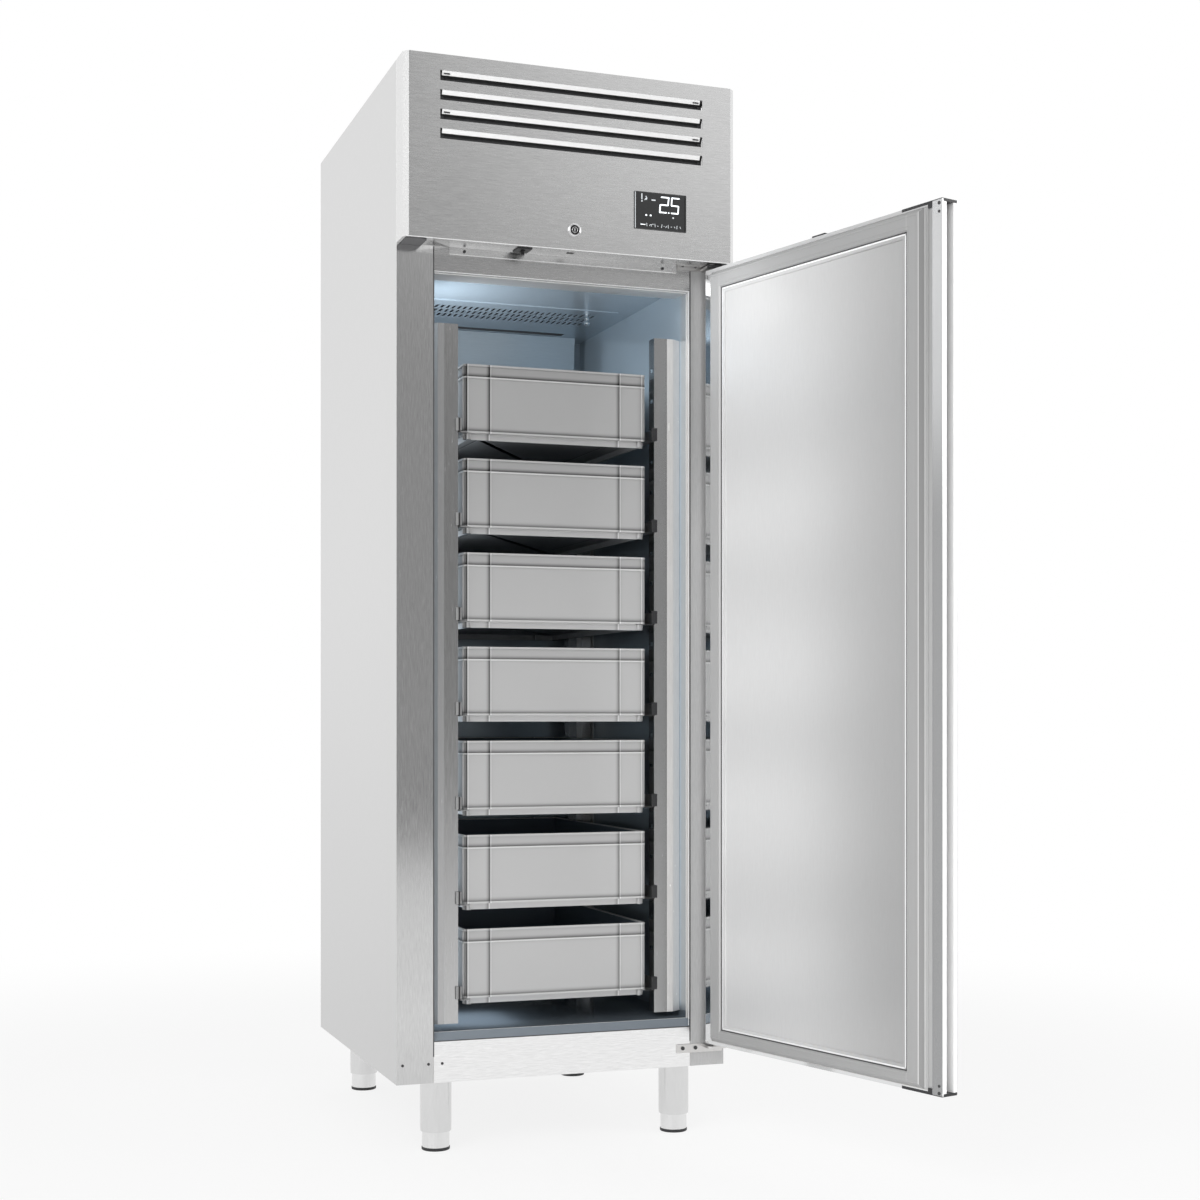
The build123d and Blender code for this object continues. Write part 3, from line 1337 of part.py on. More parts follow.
def door_handle():
    """The full-height grip on the free edge of the door."""
    low = cap_span(-1)[0]
    high = cap_span(1)[0]
    grip = prism_z(handle_outline(), low, high)
    t = HANDLE_SHEET
    flange = [
        (-DOOR_EDGE, door_plane(0)),
        (-DOOR_EDGE + HANDLE_FLANGE, door_plane(0)),
        (-DOOR_EDGE + HANDLE_FLANGE, door_plane(t)),
        (-DOOR_EDGE + t, door_plane(t)),
        (-DOOR_EDGE + t + 1, door_plane(HANDLE_BEVEL_DEPTH)),
        (-DOOR_EDGE + 1, door_plane(HANDLE_BEVEL_DEPTH)),
    ]
    grip = grip + prism_z(flange, DOOR_FOOT + 0.5, DOOR_TOP - 0.5)
    for x, z, radius in handle_screws():
        grip = grip - lengthways(x, z, SCREW_RADIUS, door_plane(-1), door_plane(t + 1))
    return grip


def handle_screws():
    """The screws on the grip's flange: place and head radius."""
    x = -DOOR_EDGE + 7.7
    return (
        (x, DOOR_TOP - 7, 3.2),
        (x, DOOR_TOP - 22, 2.6),
        (x, DOOR_FOOT + 18, 2.6),
        (x, DOOR_FOOT + 5, 3.2),
    )


def door_end_caps():
    """The two plastic corner caps and the two hinge bushes."""
    pieces = []
    grip = door_handle()
    skin = door_skin()
    for end in (1, -1):
        z0, z1 = cap_span(end)
        cap = block(
            -DOOR_EDGE + 0.3, -DOOR_EDGE + CAP_LENGTH, door_plane(0), door_plane(DOOR_THICKNESS - SHEET),
            z0, z1,
        )
        block_left = -DOOR_EDGE + HANDLE_FLANGE - 8
        tongue = block(
            block_left, -PAN_FLANGE_HALF - 0.2, door_plane(0), door_plane(CHANNEL_DEPTH - SHEET),
            z0 - end * (CAP_BLOCK_DROP - CAP_HEIGHT), z0,
        )
        cap = cap + tongue - grip - skin
        for x, z, _ in handle_screws():
            cap = cap - lengthways(x, z, SCREW_RADIUS, door_plane(-1), door_plane(HANDLE_SHEET + 1))
        pieces.append(cap)
    for z0, z1 in bush_spans():
        bush = upright(HINGE_X, HINGE_Y, HINGE_PIN_RADIUS + BUSH_WALL, z0, z1)
        bore = upright(HINGE_X, HINGE_Y, HINGE_PIN_RADIUS + HINGE_FIT, z0 - 1, z1 + 1)
        pieces.append(bush - bore)
    return pieces


def door_pan():
    """The inner sheet of the door: a raised panel, a seat for the gasket and a side channel."""
    seat_left = -PAN_FLANGE_HALF
    seat = [
        (seat_left, door_plane(0)),
        (STRIP_INNER - SEAM, door_plane(0)),
        (STRIP_INNER - SEAM, door_plane(SHEET)),
        (seat_left + SHEET, door_plane(SHEET)),
        (seat_left + SHEET, door_plane(CHANNEL_DEPTH)),
        (-DOOR_EDGE + HANDLE_FLANGE, door_plane(CHANNEL_DEPTH)),
        (-DOOR_EDGE + HANDLE_FLANGE, door_plane(CHANNEL_DEPTH - SHEET)),
        (seat_left, door_plane(CHANNEL_DEPTH - SHEET)),
    ]
    low = DOOR_FOOT + DOOR_FOLD + SEAM
    high = DOOR_TOP - DOOR_FOLD - SEAM
    plate = prism_z(seat, low, high)
    panel_low = DOOR_FOOT + PANEL_EDGE_GAP
    panel_high = DOOR_TOP - PANEL_EDGE_GAP - PAN_RIM
    tub = wide(PAN_HALF, door_plane(0), door_plane(-PAN_PROUD), panel_low, panel_high)
    rim_inner = PAN_HALF - PAN_RIM
    dish = wide(
        rim_inner, door_plane(-PAN_PROUD + PAN_RIM_RISE), door_plane(-PAN_PROUD - 1),
        panel_low + PAN_RIM, panel_high - PAN_RIM,
    )
    hollow = wide(
        PAN_HALF - SHEET, door_plane(SHEET + 1), door_plane(-PAN_PROUD + PAN_RIM_RISE + SHEET),
        panel_low + SHEET, panel_high - SHEET,
    )
    return plate + tub - dish - hollow


def door_gasket():
    """The magnetic seal round the raised panel, slanted on its outer side."""
    seat = door_plane(0)
    face = FRONT - GASKET_SEAT
    low = DOOR_FOOT + DOOR_FOLD + 1
    high = DOOR_TOP - DOOR_FOLD - 1
    inner_low = DOOR_FOOT + PANEL_EDGE_GAP - 1
    inner_high = DOOR_TOP - PANEL_EDGE_GAP - PAN_RIM + 1
    base_half = GASKET_OUTER + GASKET_SLANT
    base = Plane(origin=(0, seat, (low + high) / 2), x_dir=(1, 0, 0), z_dir=(0, 1, 0))
    tip = Plane(origin=(0, face, (low + high) / 2), x_dir=(1, 0, 0), z_dir=(0, 1, 0))
    foot = base * Rectangle(2 * base_half, high - low)
    crown = tip * Rectangle(2 * GASKET_OUTER, high - low - 2 * GASKET_SLANT)
    ring = loft([foot, crown])
    opening = wide(GASKET_INNER, seat - 1, face + 1, inner_low, inner_high)
    return ring - opening


def door_foam():
    """The foam core between the skin, the pan and the grip."""
    s = SHEET
    edge = DOOR_EDGE - s
    shoulder = DOOR_EDGE - SWING_CHAMFER_WIDTH
    core = [
        (-edge + GROOVE_DEPTH + 2, door_plane(CHANNEL_DEPTH)),
        (-PAN_FLANGE_HALF, door_plane(CHANNEL_DEPTH)),
        (-PAN_FLANGE_HALF + s, door_plane(CHANNEL_DEPTH)),
        (-PAN_FLANGE_HALF + s, door_plane(s)),
        (shoulder - s, door_plane(s)),
        (edge, door_plane(SWING_CHAMFER_DEPTH + s)),
        (edge, door_plane(DOOR_THICKNESS - s)),
        (-edge + GROOVE_DEPTH + 2, door_plane(DOOR_THICKNESS - s)),
    ]
    foam = prism_z(core, DOOR_FOOT + s, DOOR_TOP - s)
    panel_low = DOOR_FOOT + PANEL_EDGE_GAP + s
    panel_high = DOOR_TOP - PANEL_EDGE_GAP - PAN_RIM - s
    bulge = wide(
        PAN_HALF - s, door_plane(s), door_plane(-PAN_PROUD + PAN_RIM_RISE + s), panel_low, panel_high
    )
    foam = foam + bulge
    for other in (door_skin(), door_handle(), end_cap_space(1), end_cap_space(-1), bush_holes()):
        foam = foam - other
    for piece in door_end_caps():
        foam = foam - piece
    return foam - keeper_screw_holes()


def lock_keeper():
    """The plate on top of the door that the lock bolt drops into."""
    plate = block(
        BOLT_X - KEEPER_HALF, BOLT_X + KEEPER_HALF,
        BOLT_Y - KEEPER_DEPTH / 2, BOLT_Y + KEEPER_DEPTH / 2,
        DOOR_TOP, DOOR_TOP + KEEPER_HEIGHT,
    )
    reach = BOLT_HALF + 1.5
    depth = BOLT_DEPTH / 2 + 1.5
    slot = block(
        BOLT_X - reach, BOLT_X + reach, BOLT_Y - depth, BOLT_Y + depth,
        DOOR_TOP - 1, DOOR_TOP + KEEPER_HEIGHT + 1,
    )
    holes = [
        upright(BOLT_X + x, BOLT_Y, SCREW_RADIUS, DOOR_TOP - 1, DOOR_TOP + KEEPER_HEIGHT + 1)
        for x in (-KEEPER_HALF + 5, KEEPER_HALF - 5)
    ]
    return plate - slot - Compound(children=solids_of(holes))


def door_screws():
    """The grip's screws and the keeper's screws."""
    screws = []
    for x, z, head_radius in handle_screws():
        head = lengthways(x, z, head_radius, door_plane(-0.8), door_plane(0))
        shank = lengthways(x, z, SCREW_RADIUS, door_plane(0), door_plane(HANDLE_SHEET))
        screws.append(head + shank)
    for x in (-KEEPER_HALF + 5, KEEPER_HALF - 5):
        head = upright(BOLT_X + x, BOLT_Y, 3.4, DOOR_TOP + KEEPER_HEIGHT, DOOR_TOP + KEEPER_HEIGHT + 1)
        shank = upright(BOLT_X + x, BOLT_Y, SCREW_RADIUS, DOOR_TOP - 8, DOOR_TOP + KEEPER_HEIGHT)
        screws.append(head + shank)
    return screws


def opened(shape):
    """A door piece turned about the hinge to the stored, open position."""
    axis = Pos(HINGE_X, HINGE_Y, 0)
    return axis * Rot(0, 0, DOOR_OPEN_DEG) * Pos(-HINGE_X, -HINGE_Y, 0) * shape


# Hinge brackets, legs and screws


def bracket_screw_xs():
    return (BRACKET_OUTER_SCREW,)


def bracket_screw_zs():
    return (BOTTOM_SCREW_Z, TOP_SCREW_Z)


def hinge_bracket(arm_z0, arm_z1, plate_z0, plate_z1, pin_z0, pin_z1, screw_z):
    """An angle bracket screwed to the front, with the door's pin on its arm."""
    plate = block(
        BRACKET_INNER, BRACKET_OUTER, FRONT - BRACKET_PLATE, FRONT, plate_z0, plate_z1
    )
    nose = HINGE_Y - HINGE_PIN_RADIUS - 5
    arm = block(ARM_INNER, ARM_OUTER, nose, FRONT, arm_z0, arm_z1)
    arm = fillet(arm.edges().filter_by(Axis.Z).group_by(Axis.Y)[0], 9)
    pin = upright(HINGE_X, HINGE_Y, HINGE_PIN_RADIUS, pin_z0, pin_z1)
    shape = plate + arm + pin
    for x in (BRACKET_INNER_SCREW, BRACKET_OUTER_SCREW):
        shape = shape - lengthways(x, screw_z, SCREW_RADIUS, FRONT - 10, FRONT + 1)
    return shape


def hinge_bracket_top():
    arm_top = TOP_ARM_FOOT + BRACKET_SHEET
    bracket = hinge_bracket(
        TOP_ARM_FOOT, arm_top, TOP_ARM_FOOT, TOP_ARM_FOOT + BRACKET_HEIGHT,
        DOOR_TOP - PIN_REACH, arm_top + 0.5, TOP_SCREW_Z,
    )
    head = upright(HINGE_X, HINGE_Y, 9, arm_top, arm_top + 3.5)
    return bracket + head


def hinge_bracket_bottom():
    arm_foot = BOTTOM_ARM_TOP - BRACKET_SHEET
    bracket = hinge_bracket(
        arm_foot, BOTTOM_ARM_TOP, BOTTOM_ARM_TOP - BRACKET_HEIGHT, BOTTOM_ARM_TOP,
        arm_foot - 0.5, DOOR_FOOT + PIN_REACH, BOTTOM_SCREW_Z,
    )
    washer = upright(HINGE_X, HINGE_Y, 9, BOTTOM_ARM_TOP, DOOR_FOOT - RUNNING_GAP)
    head = upright(HINGE_X, HINGE_Y, 9, arm_foot - 3.5, arm_foot)
    return bracket + washer + head


def leg_centres():
    x = HALF - LEG_INSET
    return (
        (-x, FRONT + LEG_SETBACK),
        (x, FRONT + LEG_SETBACK),
        (-x, BACK - LEG_REAR_SETBACK),
        (x, BACK - LEG_REAR_SETBACK),
    )


def leg_sleeve(x, y):
    """The fixed part of a leg: a tapered tube with a nut for the foot's stud."""
    outside = upright(x, y, SLEEVE_RADIUS, SLEEVE_FOOT, LEG_HEIGHT)
    taper = Pos(x, y, (SLEEVE_FOOT + SLEEVE_TAPER) / 2) * Cone(
        SLEEVE_MOUTH + SLEEVE_WALL, SLEEVE_RADIUS, SLEEVE_FOOT - SLEEVE_TAPER
    )
    bore = upright(x, y, SLEEVE_MOUTH, SLEEVE_TAPER - 1, LEG_HEIGHT - 6)
    nut = upright(x, y, SLEEVE_MOUTH + 0.5, LEG_HEIGHT - 46, LEG_HEIGHT - 34)
    stud_bore = upright(x, y, STUD_RADIUS + STUD_FIT, LEG_HEIGHT - 50, LEG_HEIGHT - 6)
    return (outside + taper - bore) + (nut - stud_bore)


def leg_foot(x, y):
    """The foot that screws down out of a leg: cup, stud and pad."""
    cup = upright(x, y, CUP_RADIUS, PAD_HEIGHT, CUP_TOP)
    cup = cup - upright(x, y, CUP_RADIUS - CUP_WALL, PAD_HEIGHT + 4, CUP_TOP + 1)
    stud = upright(x, y, STUD_RADIUS, PAD_HEIGHT, STUD_TOP)
    pad = upright(x, y, PAD_RADIUS, 0, PAD_HEIGHT)
    pad = chamfer(pad.edges().group_by(Axis.Z)[0], 1.2)
    return [cup + stud, pad]


def stile_screws():
    """The small screws on the left stile and the bottom rail."""
    screws = []
    for x in (-HALF + 12.3, -HALF + 65.0, -HALF + 93.0):
        screws.append(front_screw(x, BOTTOM_SCREW_Z, FRONT))
    return screws


def front_screw(x, z, face):
    """A screw whose head stands on a front face."""
    head = lengthways(x, z, SCREW_HEAD_RADIUS - 1.2, face - SCREW_HEAD / 2, face)
    shank = lengthways(x, z, SCREW_RADIUS - 0.4, face, face + SCREW_LENGTH)
    return head + shank


def cabinet_screws():
    """The stile screws and the screws of both hinge brackets."""
    screws = stile_screws()
    for z in bracket_screw_zs():
        for x in (BRACKET_INNER_SCREW, BRACKET_OUTER_SCREW):
            face = FRONT - BRACKET_PLATE
            head = lengthways(x, z, SCREW_HEAD_RADIUS, face - SCREW_HEAD, face)
            shank = lengthways(x, z, SCREW_RADIUS, face, FRONT + SCREW_LENGTH - 1)
            screws.append(head + shank)
    return screws


def fascia_screws():
    """The two captive screws that hold the fascia's lip to the top rail."""
    screws = []
    for x in (-FASCIA_SCREW_X, FASCIA_SCREW_X):
        face = FRONT - FASCIA_GAP - SHEET
        head = lengthways(x, FASCIA_SCREW_Z, SCREW_HEAD_RADIUS - 1, face - SCREW_HEAD, face)
        shank = lengthways(x, FASCIA_SCREW_Z, SCREW_RADIUS, face, FRONT + SHEET + 3)
        screws.append(head + shank)
    return screws


def fascia_screw_pockets():
    """The room in the foam for the captive screws."""
    return [
        lengthways(x, FASCIA_SCREW_Z, SCREW_RADIUS + CAPTIVE_GAP, FRONT, FRONT + SHEET + 5)
        for x in (-FASCIA_SCREW_X, FASCIA_SCREW_X)
    ]


def main():
    os.makedirs("parts", exist_ok=True)
    right = side_panel()
    screws = Compound(children=solids_of(stile_screws()))
    save("side_panel_right", right)
    save("side_panel_left", swap_side(right) - screws)
    save("back_panel", back_panel())
    save("bottom_panel", bottom_panel())
    rails = front_rails()
    save("front_rails", rails[0] - screws, *rails[1:])
    save("roof_panel", roof_panel())
    save("body_foam", body_foam())
    save("inner_liner", inner_liner())
    save("breaker_frame", breaker_frame())
    save("rack_posts", *rack_posts())
    save("box_runners", *box_runners())
    for index in range(BOX_COUNT):
        save(f"fish_box_{index + 1}", fish_box(box_foot(index)))
    save("duct_panel", duct_panel())
    save("evaporator_cover", evaporator_cover())
    save("evaporator_housing", evaporator_housing())
    save("evaporator_coil", evaporator_coil())
    save("evaporator_fan_motor", evaporator_fan_motor())
    save("evaporator_fan_blades", fan_blades(0, EVAPORATOR_FAN_Y, EVAPORATOR_FAN_Z, FAN_RADIUS))
    save("temperature_probe", temperature_probe())
    save("compressor", compressor())
    save("condenser_coil", condenser_coil())
    save("condenser_fan_mount", condenser_fan_mount())
    save("condenser_fan_blades", condenser_fan_blades())
    save("refrigerant_pipes", *refrigerant_pipes())
    save("evaporation_tray", evaporation_tray())
    save("electrical_box", electrical_box())
    save("rear_grille", rear_grille())
    save("fascia_panel", *fascia_panel())
    save("fascia_louvres", fascia_louvres())
    save("air_filter", air_filter())
    save("controller", controller())
    save("lock_barrel", lock_barrel())
    save("lock_plug", lock_plug())
    save("lock_bolt", lock_bolt())
    save("hinge_cover", hinge_cover())
    save("door_switch_base", door_switch_base())
    save("door_switch_lever", door_switch_lever())
    save("door_skin", opened(door_skin()))
    save("door_foam", opened(door_foam()))
    save("door_pan", opened(door_pan()))
    save("door_gasket", opened(door_gasket()))
    save("door_handle", opened(door_handle()))
    save("door_end_caps", *[opened(piece) for piece in door_end_caps()])
    save("lock_keeper", opened(lock_keeper()))
    save("door_screws", *[opened(screw) for screw in door_screws()])
    save("hinge_bracket_top", hinge_bracket_top())
    save("hinge_bracket_bottom", hinge_bracket_bottom())
    save("leg_sleeves", *[leg_sleeve(x, y) for x, y in leg_centres()])
    for index, (x, y) in enumerate(leg_centres()):
        save(f"leg_foot_{index + 1}", *leg_foot(x, y))
    save("cabinet_screws", *cabinet_screws())
    save("fascia_screws", *fascia_screws())


main()
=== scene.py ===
# %% [markdown]
# # A refrigerator for fish boxes
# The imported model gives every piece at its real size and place, in metres. This file gives those
# pieces their finishes, and models again the pieces whose look needs more than a plain solid.
# %% Load the frame
import json
import math
import bpy
from mathutils import Matrix, Vector

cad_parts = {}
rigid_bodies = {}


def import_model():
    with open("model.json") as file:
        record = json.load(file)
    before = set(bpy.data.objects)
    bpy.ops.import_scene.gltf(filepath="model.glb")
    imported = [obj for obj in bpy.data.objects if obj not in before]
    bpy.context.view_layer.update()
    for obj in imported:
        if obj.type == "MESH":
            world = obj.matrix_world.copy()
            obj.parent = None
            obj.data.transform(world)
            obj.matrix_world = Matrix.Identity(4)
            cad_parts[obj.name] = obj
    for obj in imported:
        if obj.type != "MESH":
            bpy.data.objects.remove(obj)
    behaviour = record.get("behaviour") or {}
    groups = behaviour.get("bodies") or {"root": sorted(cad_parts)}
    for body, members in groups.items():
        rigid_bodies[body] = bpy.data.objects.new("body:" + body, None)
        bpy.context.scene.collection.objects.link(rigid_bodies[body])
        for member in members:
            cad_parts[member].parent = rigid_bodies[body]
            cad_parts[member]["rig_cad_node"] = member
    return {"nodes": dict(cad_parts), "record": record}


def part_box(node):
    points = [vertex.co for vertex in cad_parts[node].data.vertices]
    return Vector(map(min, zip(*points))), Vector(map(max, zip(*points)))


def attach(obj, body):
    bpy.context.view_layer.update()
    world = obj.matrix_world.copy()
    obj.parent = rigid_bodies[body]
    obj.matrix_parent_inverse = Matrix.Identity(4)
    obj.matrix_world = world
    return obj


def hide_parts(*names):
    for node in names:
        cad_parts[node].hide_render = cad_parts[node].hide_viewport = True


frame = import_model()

MM = 0.001
NODES = frame["nodes"]
RECORD = frame["record"]
BODY_OF = {node: body for body, members in RECORD["behaviour"]["bodies"].items() for node in members}
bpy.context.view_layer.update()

# %% [markdown]
# ## The camera
# The photograph was taken level, from the left and from below the middle of the cabinet, with a
# lens that was shifted up, so upright edges stay upright. A shift does that here too. A tilted
# camera would make the uprights lean.
# %% Camera
CAMERA_PLACE = (-1.2336, -4.0299, 0.8714)
CAMERA_TURN = (math.radians(90), 0, -0.344)
LENS = 56.96
SENSOR = 36
SHIFT_UP = 0.0960

bpy.ops.object.select_all(action="DESELECT")
bpy.ops.object.camera_add(location=CAMERA_PLACE, rotation=CAMERA_TURN)
camera = bpy.context.object
camera.name = "camera"
camera.data.sensor_width = SENSOR
camera.data.lens = LENS
camera.data.shift_y = SHIFT_UP
bpy.context.scene.camera = camera
bpy.context.scene.view_settings.view_transform = "Standard"
print("camera", camera.name, "lens", LENS)

# %% [markdown]
# ## Sums in shader nodes
# A material is a sheet of nodes. Wiring one Math node for each plus and times is slow to read, so
# a wrapped socket lets the sums be written as ordinary Python, and one method makes any other node.
# %% The node helpers
class Value:
    """A socket that can stand in a sum, as a number does."""

    def __init__(self, sheet, socket):
        self.sheet = sheet
        self.socket = socket

    def __add__(self, other):
        return self.sheet.maths("ADD", self, other)

    def __sub__(self, other):
        return self.sheet.maths("SUBTRACT", self, other)

    def __rsub__(self, other):
        return self.sheet.maths("SUBTRACT", other, self)

    def __mul__(self, other):
        return self.sheet.maths("MULTIPLY", self, other)

    def __truediv__(self, other):
        return self.sheet.maths("DIVIDE", self, other)

    def __rtruediv__(self, other):
        return self.sheet.maths("DIVIDE", other, self)

    def __mod__(self, other):
        return self.sheet.maths("FLOORED_MODULO", self, other)

    def __rmod__(self, other):
        return self.sheet.maths("FLOORED_MODULO", other, self)

    def __abs__(self):
        return self.sheet.maths("ABSOLUTE", self)

    __radd__ = __add__
    __rmul__ = __mul__

    def step(self, start, end):
        """0 below start, 1 above end, and a soft rise between them."""
        inputs = {"Value": self, "From Min": start, "From Max": end}
        return self.sheet.node("MapRange", {"interpolation_type": "SMOOTHSTEP"}, inputs)

    def band(self, low, high, margin):
        """1 from low to high, and a soft fall to 0 over a margin outside them."""
        return self.step(low - margin, low) * (1 - self.step(high, high + margin))

    def between(self, low, high):
        """The number that lies this share of the way from low to high."""
        return low if low == high else self * (high - low) + low


class Sheet:
    """A sheet of shader nodes."""

    def __init__(self, tree):
        self.tree = tree
        self.tree.nodes.clear()

    def node(self, kind, settings=None, inputs=None, output=0):
        made = self.tree.nodes.new("ShaderNode" + kind)
        for key, value in (settings or {}).items():
            setattr(made, key, value)
        for key, value in (inputs or {}).items():
            if isinstance(value, Value):
                self.tree.links.new(value.socket, made.inputs[key])
            else:
                made.inputs[key].default_value = value
        return Value(self, made.outputs[output]) if len(made.outputs) else None

    def maths(self, operation, *terms):
        return self.node("Math", {"operation": operation}, dict(enumerate(terms)))

    def place(self, stretch=(1, 1, 1)):
        """A point on the piece in metres, stretched for a pattern that runs one way."""
        point = self.node("TexCoord", output="Object")
        return self.node("Mapping", inputs={"Vector": point, "Scale": stretch})

    def axes(self, unit=MM):
        """How far the point lies along x, y and z, in millimetres or another unit."""
        first = self.node("SeparateXYZ", inputs={0: self.place()})
        return [Value(self, socket) / unit for socket in first.socket.node.outputs]

    def noise(self, place, scale=1.0, detail=2.0, roughness=0.5):
        inputs = {"Vector": place, "Scale": scale, "Detail": detail, "Roughness": roughness}
        return self.node("TexNoise", inputs=inputs)

    def blend(self, first, second, share, kind="MIX"):
        inputs = {0: share, 6: first, 7: second}
        return self.node("Mix", {"data_type": "RGBA", "blend_type": kind}, inputs, output=2)

    def shade(self, colour, tone):
        """A colour made lighter or darker by a value near 1."""
        level = self.node("CombineColor", inputs={0: tone, 1: tone, 2: tone})
        return self.blend(colour, level, 1.0, "MULTIPLY")

    def bump(self, height, strength, distance):
        inputs = {"Strength": strength, "Distance": distance, "Height": height}
        return self.node("Bump", inputs=inputs)


class Finish(Sheet):
    """One material and its sheet of nodes."""

    def __init__(self, name):
        self.material = bpy.data.materials.new(name)
        self.material.use_nodes = True
        super().__init__(self.material.node_tree)

    def surface(self, **sockets):
        inputs = {key.replace("_", " "): value for key, value in sockets.items()}
        shader = self.node("BsdfPrincipled", inputs=inputs)
        self.node("OutputMaterial", inputs={"Surface": shader})
        return self.material


def rgb(red, green, blue):
    return (red, green, blue, 1.0)


def grey(tone):
    return rgb(tone, tone, tone)


# %% [markdown]
# ## Light
# A steel cabinet shows what stands round it. The studio is white, and a broad card stands in front
# of the cabinet, grey and paler at its upper right, so the front is a mid grey that brightens towards
# its right end and, below the card, towards the floor. Only reflections see the card. A low lamp in
# front stands for the light that a white floor throws back.
# %% The studio
WORLD_LIGHT = 0.62
FLOOR_SIZE = 60.0
FLOOR_TONE = 0.92
FLOOR_LIFT = 0.80
FLOOR_FADE = (1.2, 3.2)
CARD_PLACE = (1.0, -7.0, 3.6)
CARD_SIZE = (11.0, 7.0)
CARD_DARK = 0.30
CARD_PALE = 0.94
CARD_TURN_PALE = (0.4, 3.3)
CARD_RISE_PALE = (2.8, 4.2)
CARD_TURN_WHITE = (-2.4, -5.0)


def seen_rays(sheet, kinds):
    """1 for the rays that look, and 0 for the rays that carry light."""
    rays = [sheet.node("LightPath", output=f"Is {kind} Ray") for kind in kinds]
    return sum(rays[1:], rays[0]).step(0.2, 0.8)


def make_world():
    """White to the camera, to reflections and through glass, and a plain soft light to the rest."""
    world = bpy.data.worlds.new("studio")
    bpy.context.scene.world = world
    world.use_nodes = True
    sheet = Sheet(world.node_tree)
    seen = seen_rays(sheet, ("Camera", "Glossy", "Transmission"))
    white = sheet.node("Background", inputs={"Color": grey(1), "Strength": 1.0})
    soft = sheet.node("Background", inputs={"Color": grey(1), "Strength": WORLD_LIGHT})
    both = sheet.node("MixShader", inputs={0: seen, 1: soft, 2: white})
    sheet.node("OutputWorld", inputs={"Surface": both})


def make_floor():
    """A white floor that keeps the shadow near the feet and fades into the white round it."""
    bpy.ops.mesh.primitive_plane_add(size=FLOOR_SIZE)
    floor = bpy.context.object
    floor.name = "floor"
    sheet = Finish("pale_floor")
    cast = sheet.node("BsdfDiffuse", inputs={"Color": grey(FLOOR_TONE)})
    glow = sheet.node("Emission", inputs={"Color": grey(1), "Strength": 1.0})
    away = sheet.node("VectorMath", {"operation": "LENGTH"}, {0: sheet.place()}, output="Value")
    lift = away.step(*FLOOR_FADE).between(FLOOR_LIFT, 1)
    share = seen_rays(sheet, ("Camera", "Glossy")) * lift
    both = sheet.node("MixShader", inputs={0: share, 1: cast, 2: glow})
    sheet.node("OutputMaterial", inputs={"Surface": both})
    floor.data.materials.append(sheet.material)


def make_card():
    """The card that only reflections see, with its change of grey from left to right."""
    bpy.ops.mesh.primitive_plane_add(size=1, location=CARD_PLACE, rotation=(math.radians(90), 0, 0))
    card = bpy.context.object
    card.name = "front_card"
    card.scale = (*CARD_SIZE, 1)
    bpy.ops.object.transform_apply(location=True, rotation=True, scale=True)
    sheet = Finish("card_grey")
    across, _, height = sheet.axes(unit=1)
    pale = across.step(*CARD_TURN_PALE) * height.step(*CARD_RISE_PALE)
    white = across.step(*CARD_TURN_WHITE)
    tone = pale * (CARD_PALE - CARD_DARK) + white.between(CARD_DARK, 1)
    glow = sheet.node("Emission", inputs={"Color": grey(1), "Strength": tone})
    sheet.node("OutputMaterial", inputs={"Surface": glow})
    card.data.materials.append(sheet.material)
    for kind in ("camera", "diffuse", "shadow", "transmission"):
        setattr(card, "visible_" + kind, False)


make_world()
make_floor()
make_card()

# %% [markdown]
# A lamp here is a flat square, or an upright strip where it has a height. The key light is a large
# one at the upper left, and a weaker one fills from the right. The low lamp is hidden, so the steel
# shows its light and not its shape.
# %% Lamps
WHITE = (1, 1, 1)


def lamp(name, place, target, size, power, colour=WHITE, height=None):
    turn = (Vector(target) - Vector(place)).to_track_quat("-Z", "Y").to_euler()
    bpy.ops.object.light_add(type="AREA", location=place, rotation=turn)
    made = bpy.context.object
    made.name = name
    made.data.energy = power
    made.data.color = colour
    made.data.size = size
    if height:
        made.data.shape = "RECTANGLE"
        made.data.size_y = height
    print("lamp", name, power, "W")
    return made


def hidden_lamp(name, **settings):
    """A lamp that lights the object and shows neither to the camera nor in a reflection."""
    made = lamp(name, **settings)
    made.visible_camera = False
    made.visible_glossy = False


lamp("key", place=(-3.4, -3.6, 3.6), target=(0, -0.4, 1.0), size=2.6, power=74.0)
lamp("fill", place=(3.6, -2.4, 2.6), target=(0, -0.4, 1.0), size=2.0, power=30.0)
hidden_lamp("floor_bounce", place=(-0.1, -2.3, 0.2), target=(0, -0.4, 0.45), size=1.0, power=13.0)

